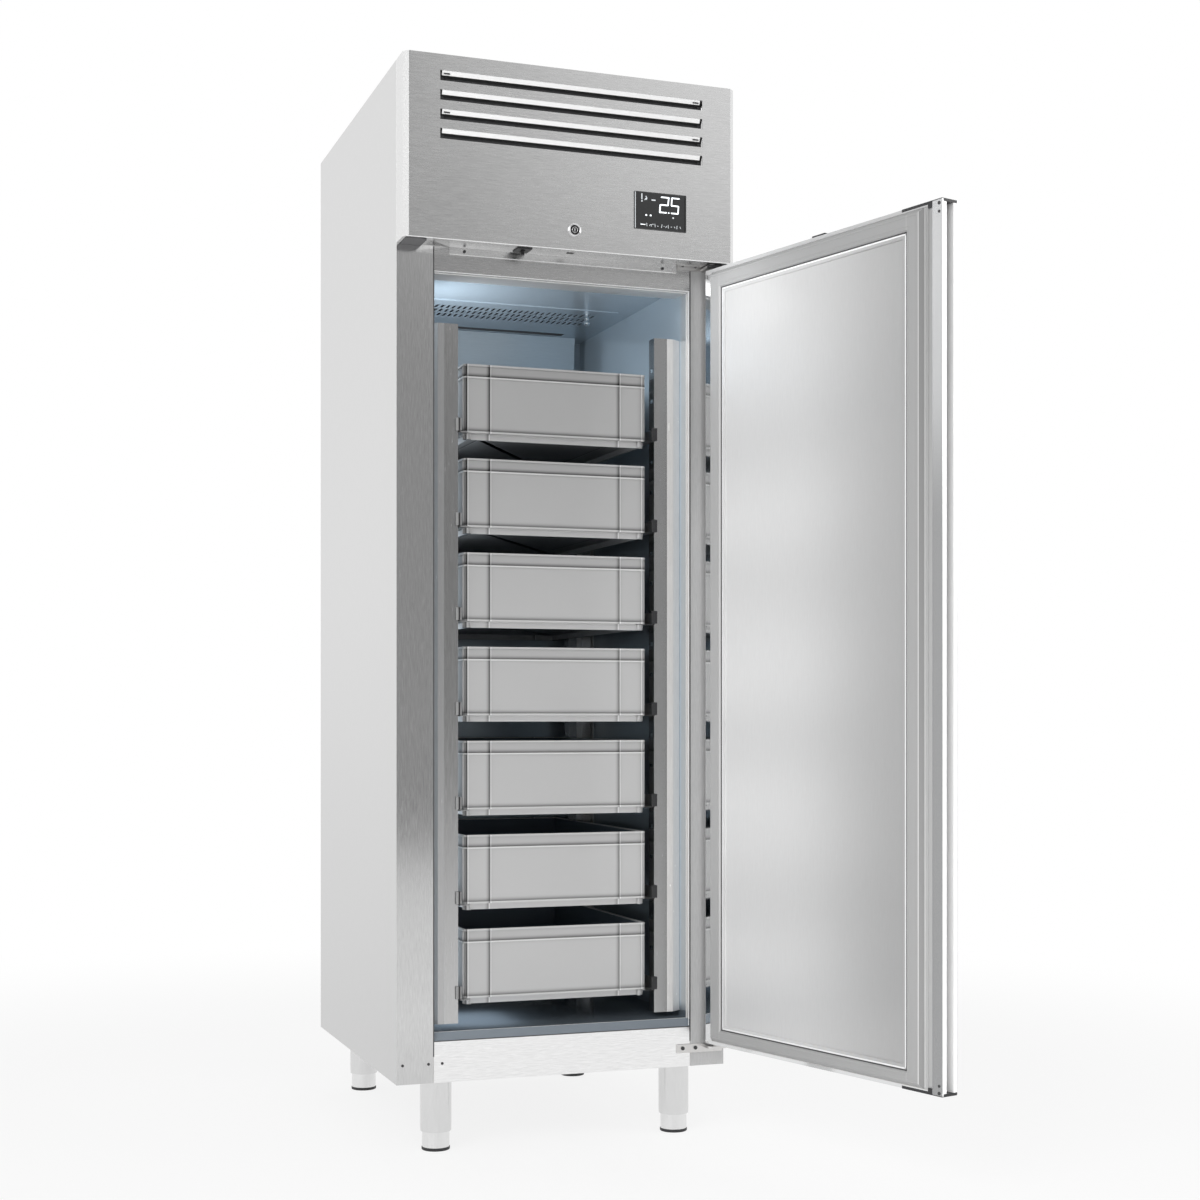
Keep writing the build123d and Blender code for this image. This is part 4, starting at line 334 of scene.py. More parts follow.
# %% [markdown]
# ## Light inside the chamber
# The chamber is lit cool white by a strip up its left wall, behind the front post. The steel throws
# that light on many times, and small hidden lamps stand for it: two under the ceiling, one that
# looks across to the right wall, one under the lowest box, and two white ones between the cabinet
# and the open door.
# %% The chamber's lamps
COOL = (0.85, 0.93, 1.0)
WARM = (1.0, 0.93, 0.89)
INNER_LAMPS = {
    "chamber_strip": dict(
        place=(-0.262, -0.16, 0.99), target=(0.3, -0.10, 0.99), size=0.16, height=1.42, power=2.2,
        colour=COOL
    ),
    "ceiling_light": dict(
        place=(-0.15, -0.08, 1.60), target=(-0.17, -0.06, 1.76), size=0.30, power=0.15, colour=WARM
    ),
    "corner_light": dict(
        place=(-0.235, -0.27, 1.665), target=(-0.22, -0.26, 1.76), size=0.08, power=0.02, colour=WARM
    ),
    "cross_light": dict(
        place=(-0.262, -0.14, 1.64), target=(0.27, -0.06, 1.64), size=0.10, power=1.0, colour=COOL
    ),
    "floor_light": dict(
        place=(-0.17, -0.23, 0.279), target=(-0.17, -0.229, 0.20), size=0.18, power=0.36, colour=COOL
    ),
    "door_light": dict(
        place=(0.02, -0.56, 1.05), target=(0.36, -0.62, 1.05), size=0.10, height=1.3, power=0.75
    ),
    "door_corner_light": dict(
        place=(0.16, -0.56, 1.72), target=(0.36, -0.52, 1.68), size=0.06, power=0.13
    ),
}
for lamp_name, settings in INNER_LAMPS.items():
    hidden_lamp(lamp_name, **settings)

# %% [markdown]
# ## Where the door hangs
# The door is stored open. Its hinge, its turn and the place of its faces when it is shut come from
# the record. The finishes of the door need them, because its faces turn at the seal and at the grip,
# and later the new door pieces do too.
# %% The hinge
DOOR_JOINT = next(row for row in RECORD["behaviour"]["joints"] if row["name"] == "door_hinge")
HINGE = Vector(DOOR_JOINT["pos_m"])
OPEN_TURN = -math.radians(DOOR_JOINT["range_deg"][0]) * DOOR_JOINT["axis"][2]
print("the door stands open by", round(math.degrees(OPEN_TURN), 1), "degrees about", HINGE)


def in_door(sheet):
    """Where a point lies on the shut door, in millimetres: across it, and in to the chamber."""
    turn = Matrix.Rotation(OPEN_TURN, 3, "Z")
    found = []
    for axis in range(2):
        way = turn.col[axis]
        inputs = {0: sheet.place(), 1: way}
        reach = sheet.node("VectorMath", {"operation": "DOT_PRODUCT"}, inputs, output="Value")
        found.append((reach - (HINGE.dot(way) - HINGE[axis])) / MM)
    return found


# %% [markdown]
# ## Brushed steel
# The sheets are polished with a belt, which leaves fine scratches in one direction. Two stretched
# noises make them: one finer than a pixel, which spreads the reflection, and one that shows. Both
# change the tone a little and stand a little above the surface.
# %% The grain of brushed steel
FINE_GRAIN = 1500.0
BROAD_GRAIN = 520.0
GRAIN_RATIO = 16.0
FINE_STREAK = 0.20
BROAD_STREAK = 0.34
SCRATCH_STRENGTH = 0.10
SCRATCH_DEPTH = 0.3 * MM
AXES = {"x": 0, "y": 1, "z": 2}


def along(axis, across):
    """A stretch that draws a pattern out along one axis."""
    stretch = [across] * 3
    stretch[AXES[axis]] = across / GRAIN_RATIO
    return stretch


class Grain:
    """The scratches of a polishing belt that ran along one axis."""

    def __init__(self, sheet, axis):
        self.sheet = sheet
        self.fine = sheet.noise(sheet.place(along(axis, FINE_GRAIN)), detail=1.0)
        self.broad = sheet.noise(sheet.place(along(axis, BROAD_GRAIN)), detail=3.0, roughness=0.6)

    def fine_streaks(self, amount):
        return (self.fine - 0.5) * amount

    def broad_streaks(self, amount):
        return (self.broad - 0.5) * amount

    def streaks(self, broad=BROAD_STREAK, fine=FINE_STREAK):
        return self.broad_streaks(broad) + self.fine_streaks(fine)

    def scratches(self, contrast, strength=SCRATCH_STRENGTH):
        height = (self.broad * 0.6 + self.fine * 0.4) * contrast
        return self.sheet.bump(height, strength, SCRATCH_DEPTH)


def brushed(name, colour, axis, roughness, contrast=1.0):
    """Plain brushed steel, with slow changes of tone as well."""
    sheet = Finish(name)
    grain = Grain(sheet, axis)
    cloud = sheet.noise(sheet.place(), scale=5.0) - 0.5
    return sheet.surface(
        Base_Color=sheet.shade(colour, 1 + grain.streaks() * contrast + cloud * 0.06),
        Metallic=1.0,
        Roughness=roughness + grain.broad_streaks(0.16 * contrast) + cloud * 0.1,
        Normal=grain.scratches(1, SCRATCH_STRENGTH * contrast),
    )


FINISHES = {
    "steel_front_level": brushed("steel_front_level", grey(0.75), "x", 0.26),
    "steel_leg": brushed("steel_leg", grey(0.72), "z", 0.22, 0.4),
    "steel_hinge": brushed("steel_hinge", rgb(0.70, 0.69, 0.68), "x", 0.32, 0.6),
    "aluminium_fins": brushed("aluminium_fins", rgb(0.78, 0.79, 0.80), "z", 0.36, 0.6),
}
print("brushed", *FINISHES)

# %% [markdown]
# ## Plastics, rubber, copper and the rest
# Moulded plastic has a very fine grain and slow changes of tone. Each of these is one base colour
# with a little noise in its tone, its roughness and its height. The lit marks glow as well.
# %% Moulded finishes
NEARLY_BLACK = rgb(0.022, 0.022, 0.024)


def moulded(name, colour, roughness, grain=900.0, depth=0.05, change=0.06, metallic=0.0, **extra):
    sheet = Finish(name)
    speck = sheet.noise(sheet.place(), scale=grain)
    cloud = sheet.noise(sheet.place(), scale=7.0, detail=3.0) - 0.5
    tone = 1 + cloud * change + (speck - 0.5) * (change * 0.6)
    return sheet.surface(
        Base_Color=sheet.shade(colour, tone), Roughness=roughness + cloud * 0.08,
        Metallic=metallic, Normal=sheet.bump(speck, 0.25, depth * MM), **extra
    )


MOULDED = {
    "black_plastic": dict(colour=NEARLY_BLACK, roughness=0.42),
    "dark_plate": dict(colour=rgb(0.10, 0.10, 0.105), roughness=0.5),
    "case_plastic": dict(colour=rgb(0.045, 0.046, 0.048), roughness=0.22),
    "hood_plastic": dict(colour=rgb(0.78, 0.79, 0.79), roughness=0.5, grain=160, depth=0.3),
    "black_paint": dict(
        colour=rgb(0.018, 0.018, 0.02), roughness=0.30, grain=220, depth=0.12, Coat_Weight=0.3
    ),
    "black_glossy": dict(colour=grey(0.004), roughness=0.75, depth=0.0),
    # Used as painted shade: in gaps, in the bolt's slot and beside the door's seal.
    "painted_gap_shade": dict(colour=rgb(0.06, 0.06, 0.062), roughness=0.6, depth=0.0),
    # Used as painted highlights: along hems, beads and the edge of the door's pan.
    "painted_edge_highlight": dict(colour=grey(0.93), roughness=0.35, metallic=0.3, depth=0.0),
    "chrome": dict(colour=rgb(0.82, 0.82, 0.83), roughness=0.10, metallic=1.0, depth=0.01),
    "copper": dict(colour=rgb(0.78, 0.40, 0.24), roughness=0.28, metallic=1.0, change=0.3),
    "probe_glass": dict(colour=rgb(0.70, 0.76, 0.80), roughness=0.12, metallic=0.85, depth=0.0),
    "display_glass": dict(
        colour=rgb(0.018, 0.019, 0.020), roughness=0.16, depth=0.0, Coat_Weight=0.25
    ),
    "display_light": dict(
        colour=rgb(0.9, 0.95, 1.0), roughness=0.4, Emission_Color=rgb(0.93, 0.97, 1.0),
        Emission_Strength=1.0
    ),
    "display_dim": dict(
        colour=rgb(0.5, 0.52, 0.54), roughness=0.4, Emission_Color=rgb(0.6, 0.63, 0.66),
        Emission_Strength=0.6
    ),
}
for finish, settings in MOULDED.items():
    FINISHES[finish] = moulded(finish, **settings)
print("moulded", len(MOULDED))

# %% [markdown]
# ## The filter
# The air filter is a woven wire mat. Two crossed waves draw its wires, dark between them, and a bump
# from the same waves raises them.
# %% Filter
MAT_SCALE = 130.0
MAT_DEPTH = 0.6 * MM


def filter_mesh():
    sheet = Finish("filter_mesh")
    waves = []
    for axis in ("X", "Z"):
        settings = {"wave_type": "BANDS", "bands_direction": axis, "wave_profile": "SIN"}
        inputs = {"Vector": sheet.place(), "Scale": MAT_SCALE}
        waves.append(sheet.node("TexWave", settings, inputs))
    wires = sheet.maths("MAXIMUM", *waves)
    colour = sheet.blend(grey(0.004), rgb(0.05, 0.05, 0.055), wires.step(0.5, 0.9))
    return sheet.surface(Base_Color=colour, Roughness=0.6, Normal=sheet.bump(wires, 0.5, MAT_DEPTH))


FINISHES["filter_mesh"] = filter_mesh()

# %% [markdown]
# ## Pieces with two looks
# Several solids hold two surfaces that look different: the two front rails are one node, the lower
# painted paler and the upper darker, as painted light and shade; the foot is steel over a plastic pad;
# the frame is painted dark along the front edge of the floor, and the foam dark above the chamber,
# both as painted shade. One finish that changes at a place along an axis gives each its own look, and
# the solid stays whole.
# %% Finishes that change at a place
def by_place(name, axis, change, first, second, brush="z"):
    sheet = Finish(name)
    grain = Grain(sheet, brush)
    share = sheet.axes()[AXES[axis]].step(*change)
    contrast = share.between(first["contrast"], second["contrast"])
    colour = sheet.blend(first["colour"], second["colour"], share)
    rough = share.between(first["rough"], second["rough"])
    return sheet.surface(
        Base_Color=sheet.shade(colour, 1 + grain.streaks() * contrast),
        Metallic=share.between(first["metal"], second["metal"]),
        Roughness=rough + grain.broad_streaks(0.14) * contrast,
        Normal=grain.scratches(contrast),
    )


def look(colour, rough, contrast, metal):
    return {"colour": colour, "rough": rough, "contrast": contrast, "metal": metal}


TWO_LOOKS = {
    # The lower rail is painted paler and the upper one, under the fascia, darker: painted light and
    # shade on one steel.
    "steel_rail": dict(
        axis="z", change=(300, 400), brush="x",
        first=look(grey(0.88), rough=0.22, contrast=1.0, metal=1.0),
        second=look(grey(0.60), rough=0.26, contrast=1.0, metal=1.0),
    ),
    # The frame is painted dark blue-grey along the front edge of the floor, as painted shade.
    "frame_plastic": dict(
        axis="z", change=(238.5, 240.5),
        first=look(rgb(0.27, 0.31, 0.35), rough=0.25, contrast=0.05, metal=0.45),
        second=look(rgb(0.68, 0.67, 0.655), rough=0.30, contrast=0.2, metal=0.45),
    ),
    # The top hinge bracket is black at its front end, for its hinge pin and, as painted shade, for the
    # shade round it.
    "steel_bracket": dict(
        axis="y", change=(-412, -408), brush="x",
        first=look(NEARLY_BLACK, rough=0.45, contrast=0.2, metal=0.0),
        second=look(rgb(0.70, 0.69, 0.68), rough=0.32, contrast=0.6, metal=1.0),
    ),
    # The foam is painted dark above the chamber, as painted shade where it shows through the outlet
    # slot at the top of the duct.
    "foam": dict(
        axis="z", change=(1750, 1756), brush="x",
        first=look(rgb(0.72, 0.69, 0.60), rough=0.9, contrast=0.3, metal=0.0),
        second=look(rgb(0.10, 0.105, 0.11), rough=0.9, contrast=0.1, metal=0.0),
    ),
    "steel_foot": dict(
        axis="z", change=(6.0, 6.4),
        first=look(NEARLY_BLACK, rough=0.5, contrast=0.2, metal=0.0),
        second=look(grey(0.80), rough=0.26, contrast=0.4, metal=1.0),
    ),
}
for finish, settings in TWO_LOOKS.items():
    FINISHES[finish] = by_place(finish, **settings)
print("with two looks", *TWO_LOOKS)

# %% [markdown]
# ## Steel inside the chamber
# The chamber is cool and satin, glossier on its floor, which is painted darker as painted shade, and
# plainer on the strip beside the right of the opening. The runners are bare steel, and their front
# hooks are black clips. The clips on the right are wholly black, partly as painted shade, and those on
# the left are black only along the edge and painted a dim grey elsewhere, as painted light.
# %% The chamber and the runners
FLOOR_TURN = (245, 275)
STRIP_X = (262, 266)
STRIP_Y = (-335, -315)
HOOK_TURN = (-328.2, -327.8)
HOOK_OUTER = (-212.5, -212.0)
HOOK_INNER = (-208.5, -208.0)


def inside_finish():
    sheet = Finish("steel_inside")
    grain = Grain(sheet, "x")
    x, y, z = sheet.axes()
    above = z.step(*FLOOR_TURN)
    front = x.step(*STRIP_X) * (1 - y.step(*STRIP_Y))
    wall = sheet.blend(rgb(0.56, 0.65, 0.72), rgb(0.57, 0.595, 0.61), front)
    # The chamber's floor is painted darker, as painted shade.
    colour = sheet.blend(rgb(0.22, 0.26, 0.30), wall, above)
    return sheet.surface(
        Base_Color=sheet.shade(colour, 1 + grain.streaks() * 0.4),
        Metallic=above.between(0.50, 0.45),
        Roughness=above.between(0.12, 0.20) + grain.broad_streaks(0.05),
        Normal=grain.scratches(0.4),
    )


def runner_finish():
    sheet = Finish("steel_runner")
    grain = Grain(sheet, "y")
    x, y, _ = sheet.axes()
    hook = 1 - y.step(*HOOK_TURN)
    left_hook = 1 - x.step(-100, 100)
    # The right hooks are wholly black, partly as painted shade; on the left only the edge is black,
    # and the rest is painted a dim grey, as painted light.
    bare = (1 - x.step(*HOOK_OUTER)) + x.step(*HOOK_INNER) * left_hook
    black = sheet.blend(NEARLY_BLACK, grey(0.30), bare)
    colour = sheet.blend(grey(0.66), black, hook)
    return sheet.surface(
        Base_Color=sheet.shade(colour, 1 + grain.fine_streaks(0.12)),
        Metallic=1 - hook,
        Roughness=hook.between(0.32, 0.45),
    )


FINISHES["steel_inside"] = inside_finish()
FINISHES["steel_runner"] = runner_finish()

# %% [markdown]
# ## The cabinet's sides
# One folded sheet makes a side and the narrow stile in front of it. The side is plain and satin, and
# painted a little paler towards its top, as painted light. The stiles are clearly brushed: the left
# one is painted darker low down, and the right one is matt and painted darker, most of all near its
# top, as painted shade from the door.
# %% Sides
STILE_TURN = (-373.5, -372.5)
SIDE_PAINTED_LIGHT = (200, 1300)
LEFT_PAINTED_SHADE = (550, 900)
RIGHT_PAINTED_SHADE = (1200, 1500)


def side_finish():
    sheet = Finish("steel_side")
    grain = Grain(sheet, "z")
    x, y, z = sheet.axes()
    face = y.step(*STILE_TURN)
    stile = 1 - face
    right = x.step(0, 100) * stile
    left = stile * (1 - right)
    contrast = stile.between(0.3, 1.0)
    # The side is painted paler towards its top, as painted light.
    tone = face * z.step(*SIDE_PAINTED_LIGHT).between(0.65, 0.735) + stile * 0.79
    # The left stile is painted darker low down, as painted shade.
    tone = tone - left * (1 - z.step(*LEFT_PAINTED_SHADE)) * 0.20
    # The right stile is painted darker, most of all near its top, as painted shade from the door.
    tone = tone - right * z.step(*RIGHT_PAINTED_SHADE).between(0.30, 0.41)
    return sheet.surface(
        Base_Color=sheet.shade(grey(1), tone * (1 + grain.streaks() * contrast)),
        Metallic=right.between(1.0, 0.3),
        Roughness=face.between(0.14, 0.42) + right * 0.28 + grain.broad_streaks(0.12) * contrast,
        Normal=grain.scratches(contrast),
    )


FINISHES["steel_side"] = side_finish()

# %% [markdown]
# ## Rack posts
# A post is folded from brushed sheet, with a flat face and a bevel on each side. The bevels of the
# two right posts, which turn to the bright door, are painted pale, as a painted reflection of it, and
# those on the left, which turn away from it, are painted darker; the faces of the right posts are
# painted a little darker than those on the left.
# %% Rack posts
POST_BEVEL = (240.6, 241.4)


def rack_finish():
    sheet = Finish("steel_rack")
    grain = Grain(sheet, "z")
    x, _, _ = sheet.axes()
    bevel = abs(x).step(*POST_BEVEL)
    right = x.step(-10, 10)
    # Painted light and shade: the right bevels pale, and the left bevels and the right faces darker.
    face = sheet.blend(grey(0.53), grey(0.46), right)
    slope = sheet.blend(grey(0.47), rgb(0.84, 0.83, 0.82), right)
    colour = sheet.blend(face, slope, bevel)
    return sheet.surface(
        Base_Color=sheet.shade(colour, 1 + grain.streaks(broad=0.24, fine=0.16)),
        Metallic=bevel.between(1.0, 0.55),
        Roughness=0.24 + grain.broad_streaks(0.14),
    )


FINISHES["steel_rack"] = rack_finish()

# %% [markdown]
# ## Louvre blades
# The blades stand one above the other at an even pitch. The upper strip of each is painted near
# white, as a painted highlight, and the rest, which turns under it, is painted black as painted shade,
# as are the blade's very ends.
# %% Louvre blades
BLADE_PITCH = 37.8
BLADE_FOOT = 1980.5
BLADE_BRIGHT = (8.3, 8.6)
BLADE_END = (272.2, 272.8)


def blade_finish():
    sheet = Finish("steel_blade")
    grain = Grain(sheet, "x")
    x, _, z = sheet.axes()
    below_top = BLADE_PITCH - (z - BLADE_FOOT) % BLADE_PITCH
    # The upper strip is painted near white, as a painted highlight, and the rest near black, as
    # painted shade.
    bright = (1 - below_top.step(*BLADE_BRIGHT)) * (1 - abs(x).step(*BLADE_END))
    colour = sheet.blend(grey(0.004), grey(0.98), bright)
    return sheet.surface(
        Base_Color=sheet.shade(colour, 1 + grain.fine_streaks(0.05)),
        Metallic=bright.between(0.0, 0.4),
        Roughness=bright.between(0.84, 0.34),
    )


FINISHES["steel_blade"] = blade_finish()

# %% [markdown]
# ## The door's outer sheet
# The sheet is brushed outside. On the strip that it turns in towards the seal it is as rolled, like
# a mirror, except along its top edge, which is matt.
# %% Outer sheet of the door
POLISHED_FROM = (-393, -389)
SKIN_TOP = (1779, 1781)


def door_skin_finish():
    sheet = Finish("steel_skin")
    grain = Grain(sheet, "z")
    _, inward = in_door(sheet)
    _, _, z = sheet.axes()
    polish = inward.step(*POLISHED_FROM)
    plain = 1 - polish
    top = z.step(*SKIN_TOP) * polish
    colour = sheet.blend(rgb(0.78, 0.785, 0.79), grey(0.62), top)
    return sheet.surface(
        Base_Color=sheet.shade(colour, 1 + grain.streaks() * plain),
        Metallic=top.between(1.0, 0.2),
        Roughness=plain * (grain.broad_streaks(0.16) + 0.22) + 0.07 + top * 0.4,
        Normal=grain.scratches(plain),
    )


FINISHES["steel_mirror"] = door_skin_finish()

# %% [markdown]
# ## The door's inner sheet
# The inner sheet is satin. It is painted paler towards the hinge and a little darker near its top, as
# painted light and shade, and a sine up its height paints faint bands of light down it, a painted
# reflection such as thin sheet that isn't quite flat shows.
# %% Inner sheet of the door
WAVE_LENGTH = 300
PAINTED_LIGHT_ACROSS = (-310, 80)
PAINTED_SHADE_ABOVE = (1100, 1700)


def pan_finish():
    sheet = Finish("steel_pan")
    grain = Grain(sheet, "z")
    across, _ = in_door(sheet)
    _, _, z = sheet.axes()
    hinge_side = across.step(*PAINTED_LIGHT_ACROSS)
    wave = sheet.maths("SINE", z * (math.tau / WAVE_LENGTH)) * 0.5 + 0.5
    # Painted light towards the hinge and painted bands of reflection from the sine, and painted shade
    # near the top.
    tone = hinge_side.between(0.45, 0.66) - z.step(*PAINTED_SHADE_ABOVE) * 0.04 + wave * hinge_side * 0.055
    return sheet.surface(
        Base_Color=sheet.shade(grey(1), tone * (1 + grain.streaks(broad=0.10, fine=0.06))),
        Metallic=0.22,
        Roughness=0.36 + grain.broad_streaks(0.06),
    )


FINISHES["steel_pan"] = pan_finish()

# %% [markdown]
# ## The door's grip
# The grip is one folded profile: a flange beside the seal, grey and painted darker low down as
# painted shade, an outer face that is nearly white, and a groove for the fingers whose deepest part
# is painted nearly black as painted shade.
# %% Grip
FLANGE_TURN = (-388.0, -387.6)
GROOVE_TURN = (-399.4, -399.2)
GROOVE_SHADE_FROM = (-329.6, -329.1)
FLANGE_SHADE_FADE = (1200, 1500)


def grip_finish():
    sheet = Finish("steel_grip")
    grain = Grain(sheet, "z")
    across, inward = in_door(sheet)
    _, _, z = sheet.axes()
    flange = inward.step(*FLANGE_TURN)
    groove = 1 - inward.step(*GROOVE_TURN)
    # The deep part of the groove is painted nearly black, as painted shade.
    deep = across.step(*GROOVE_SHADE_FROM) * groove
    pale = sheet.blend(grey(0.95), grey(0.93), groove)
    shaded = sheet.blend(pale, grey(0.03), deep)
    colour = sheet.blend(shaded, rgb(0.60, 0.605, 0.61), flange)
    # The flange is painted darker low down, as painted shade.
    low_shade = 1 - flange * (1 - z.step(*FLANGE_SHADE_FADE)) * 0.38
    return sheet.surface(
        Base_Color=sheet.shade(colour, low_shade * (1 + grain.fine_streaks(0.06))),
        Metallic=flange.between(0.25, 0.85),
        Roughness=flange.between(0.44, 0.24),
    )


FINISHES["steel_grip"] = grip_finish()

# %% [markdown]
# ## The seal's rubber
# The seal is grey rubber. Its outer slope is painted darker, as painted shade, and a thin painted
# highlight runs along each edge of it and along the inner edge of the crown.
# %% Rubber
SEAL_SLOPE = (300.2, 300.8)
HIGHLIGHT_LINES = ((300.3, 0.70), (307.6, 0.90), (270.6, 0.35))
HIGHLIGHT_HALF = 0.3


def seal_finish():
    sheet = Finish("gasket_rubber")
    across, _ = in_door(sheet)
    side = abs(across)
    # Painted highlights along the edges of the seal.
    highlights = sum(side.band(at - HIGHLIGHT_HALF, at + HIGHLIGHT_HALF, HIGHLIGHT_HALF) * rise for at, rise in HIGHLIGHT_LINES)
    speck = sheet.noise(sheet.place(), scale=500.0)
    # The outer slope is painted darker, as painted shade.
    tone = side.step(*SEAL_SLOPE).between(1.0, 0.7) + highlights + (speck - 0.5) * 0.06
    return sheet.surface(
        Base_Color=sheet.shade(grey(0.385), tone), Roughness=0.55,
        Normal=sheet.bump(speck, 0.2, 0.05 * MM)
    )


FINISHES["gasket_rubber"] = seal_finish()

# %% [markdown]
# ## The boxes' plastic
# The boxes are pale grey plastic. A soft painted shadow lies beside each rib, above the foot and above
# the belt, and the ribs, the belt, the foot and the top line of the rim are painted paler, as painted
# highlights, while the band under the rim is painted a little darker. The same finish serves all
# seven, because the height is counted from each box's own foot. The upper boxes are painted a little
# darker than the lowest, as painted shade. Their insides and the undersides of their feet are painted
# dark, to stand for the shade between one box and the next.
# %% Plastic of the boxes
FIRST_BOX = 285
BOX_PITCH = 191
RIBS = (-188.6, -140.3, 140.3, 188.6)
RIB_SHADES = ((-189.6, 5, 0.85), (-141.3, 6, 0.62), (139.3, 6, 0.50), (187.6, 6, 0.10))
LEVEL_SHADES = ((17, 6, 0.55), (127.5, 6, 0.60))
BELT_BAND = (124.5, 127.3)
PAINTED_BAND_SHADE = (127.6, 148.4)
FOOT_TOP = 17
INSIDE_X = (191.6, 192.0)
INSIDE_Y = (-312.8, -312.4)
INSIDE_FOOT = (15.2, 15.6)
INSIDE_TOP = (150.0, 150.5)


def box_finish():
    sheet = Finish("box_plastic")
    x, y, z = sheet.axes()
    level = (z - FIRST_BOX) % BOX_PITCH

    def shade_before(edge, width, depth):
        """A painted shadow that deepens across the face up to an edge."""
        rise = x.step(edge - 2 * width, edge)
        return rise * rise * (1 - x.step(edge, edge + 0.2)) * depth

    def shade_above(edge, width, depth):
        """A painted shadow that fades upwards from an edge."""
        fall = 1 - level.step(edge, edge + 2 * width)
        return fall * fall * level.step(edge - 0.2, edge) * depth

    # Painted shadows beside the ribs, and above the foot and the belt.
    beside_ribs = sum(shade_before(*row) for row in RIB_SHADES)
    above_edges = sum(shade_above(*row) for row in LEVEL_SHADES)
    ribs = sum(x.band(at - 0.7, at + 1.3, 0.2) for at in RIBS)
    # The ribs and the belt are painted paler, as painted highlights.
    rib_highlight = sheet.maths("MAXIMUM", ribs, level.band(*BELT_BAND, 0.2)) * 0.42
    # The foot is painted paler, as a painted highlight.
    foot = (1 - level.step(FOOT_TOP - 0.1, FOOT_TOP)) * 0.16
    # The band under the rim is painted darker, as painted shade, and the rim's top line paler, as a
    # painted highlight.
    hem = level.band(*PAINTED_BAND_SHADE, 0.1) * -0.10 + level.step(148.5, 148.6) * 0.08
    # The upper boxes are painted darker and the lowest paler, as painted shade and light.
    height = z.step(950, 1600) * -0.20 + (1 - z.step(300, 900)) * 0.07
    speck = sheet.noise(sheet.place(), scale=900.0)
    cloud = sheet.noise(sheet.place(), scale=7.0, detail=3.0) - 0.5
    tone = (1 - beside_ribs) * (1 - above_edges) + foot + hem + rib_highlight + height + cloud * 0.04
    # The insides and the undersides of the feet are painted dark navy, as painted shade between the
    # boxes.
    inside = (1 - abs(x).step(*INSIDE_X)) * y.step(*INSIDE_Y)
    inside = inside * (1 - level.step(*INSIDE_TOP)) * level.step(*INSIDE_FOOT)
    hidden = sheet.maths("MAXIMUM", inside, 1 - level.step(0.3, 0.6))
    colour = sheet.blend(sheet.shade(grey(0.455), tone), rgb(0.095, 0.115, 0.14), hidden)
    return sheet.surface(
        Base_Color=colour, Roughness=0.46 + cloud * 0.08, Normal=sheet.bump(speck, 0.25, 0.05 * MM)
    )


FINISHES["box_plastic"] = box_finish()
print("finishes", len(FINISHES))

# %% [markdown]
# ## Tools for shaping
# Operators act on what is selected, so each helper first selects only what it works on. Faces and
# edges are picked by a test on their place or their normal.
# %% Making and selecting
TURNS = {"x": (0, math.radians(90), 0), "y": (math.radians(90), 0, 0), "z": (0, 0, 0)}


def nothing_selected():
    if bpy.context.object and bpy.context.object.mode != "OBJECT":
        bpy.ops.object.mode_set(mode="OBJECT")
    bpy.ops.object.select_all(action="DESELECT")


def only(piece):
    """Select one piece and make it the active one."""
    nothing_selected()
    piece.select_set(True)
    bpy.context.view_layer.objects.active = piece


def settle(piece):
    """Put the piece's place, turn and scale into its mesh."""
    only(piece)
    bpy.ops.object.transform_apply(location=True, rotation=True, scale=True)
    return piece


def named(name):
    """Name the piece that was just added."""
    made = bpy.context.object
    made.name = name
    return made


def block(name, low, high):
    low, high = Vector(low), Vector(high)
    nothing_selected()
    bpy.ops.mesh.primitive_cube_add(size=1, location=(low + high) / 2)
    made = named(name)
    made.scale = high - low
    return settle(made)


def rod(name, centre, radius, length, axis, sides=48):
    nothing_selected()
    bpy.ops.mesh.primitive_cylinder_add(
        vertices=sides, radius=radius, depth=length, location=centre, rotation=TURNS[axis]
    )
    return settle(named(name))


def ring(name, centre, major, minor, sides=48):
    """A round wire bent into a ring, facing forward."""
    nothing_selected()
    bpy.ops.mesh.primitive_torus_add(
        location=centre, rotation=TURNS["y"], major_segments=sides, minor_segments=10,
        major_radius=major, minor_radius=minor
    )
    made = named(name)
    bpy.ops.object.shade_smooth()
    return settle(made)


def copy_of(piece, name):
    only(piece)
    bpy.ops.object.duplicate()
    return named(name)


def join(name, pieces):
    nothing_selected()
    for piece in pieces:
        piece.select_set(True)
    bpy.context.view_layer.objects.active = pieces[0]
    bpy.ops.object.join()
    return named(name)


# %% [markdown]
# A piece is shaped in edit mode. `pick` opens it with the right faces or edges selected, the short
# helpers act on them, and `done` closes it again. `soften` comes last, and rounds what is sharp.
# %% Shaping
SHARP = 38


def pick(piece, test, kind="FACE"):
    """Open the piece for editing with only the faces or edges that pass the test selected."""
    only(piece)
    bpy.ops.object.mode_set(mode="EDIT")
    bpy.ops.mesh.select_mode(type=kind)
    bpy.ops.mesh.select_all(action="DESELECT")
    bpy.ops.object.mode_set(mode="OBJECT")
    mesh = piece.data
    if kind == "FACE":
        for face in mesh.polygons:
            face.select = bool(test(face.center, face.normal))
    else:
        for edge in mesh.edges:
            ends = [mesh.vertices[index].co for index in edge.vertices]
            edge.select = bool(test(ends[0], ends[1]))
    bpy.ops.object.mode_set(mode="EDIT")


def done():
    bpy.ops.object.mode_set(mode="OBJECT")


def inset(width, depth=0.0):
    bpy.ops.mesh.inset(thickness=width, depth=depth, use_even_offset=True)


def pull(offset):
    bpy.ops.mesh.extrude_region_move(TRANSFORM_OT_translate={"value": offset})


def swell(amount):
    """Pull the selected faces out along their normals."""
    bpy.ops.mesh.extrude_region_shrink_fatten(
        TRANSFORM_OT_shrink_fatten={"value": amount, "use_even_offset": True}
    )


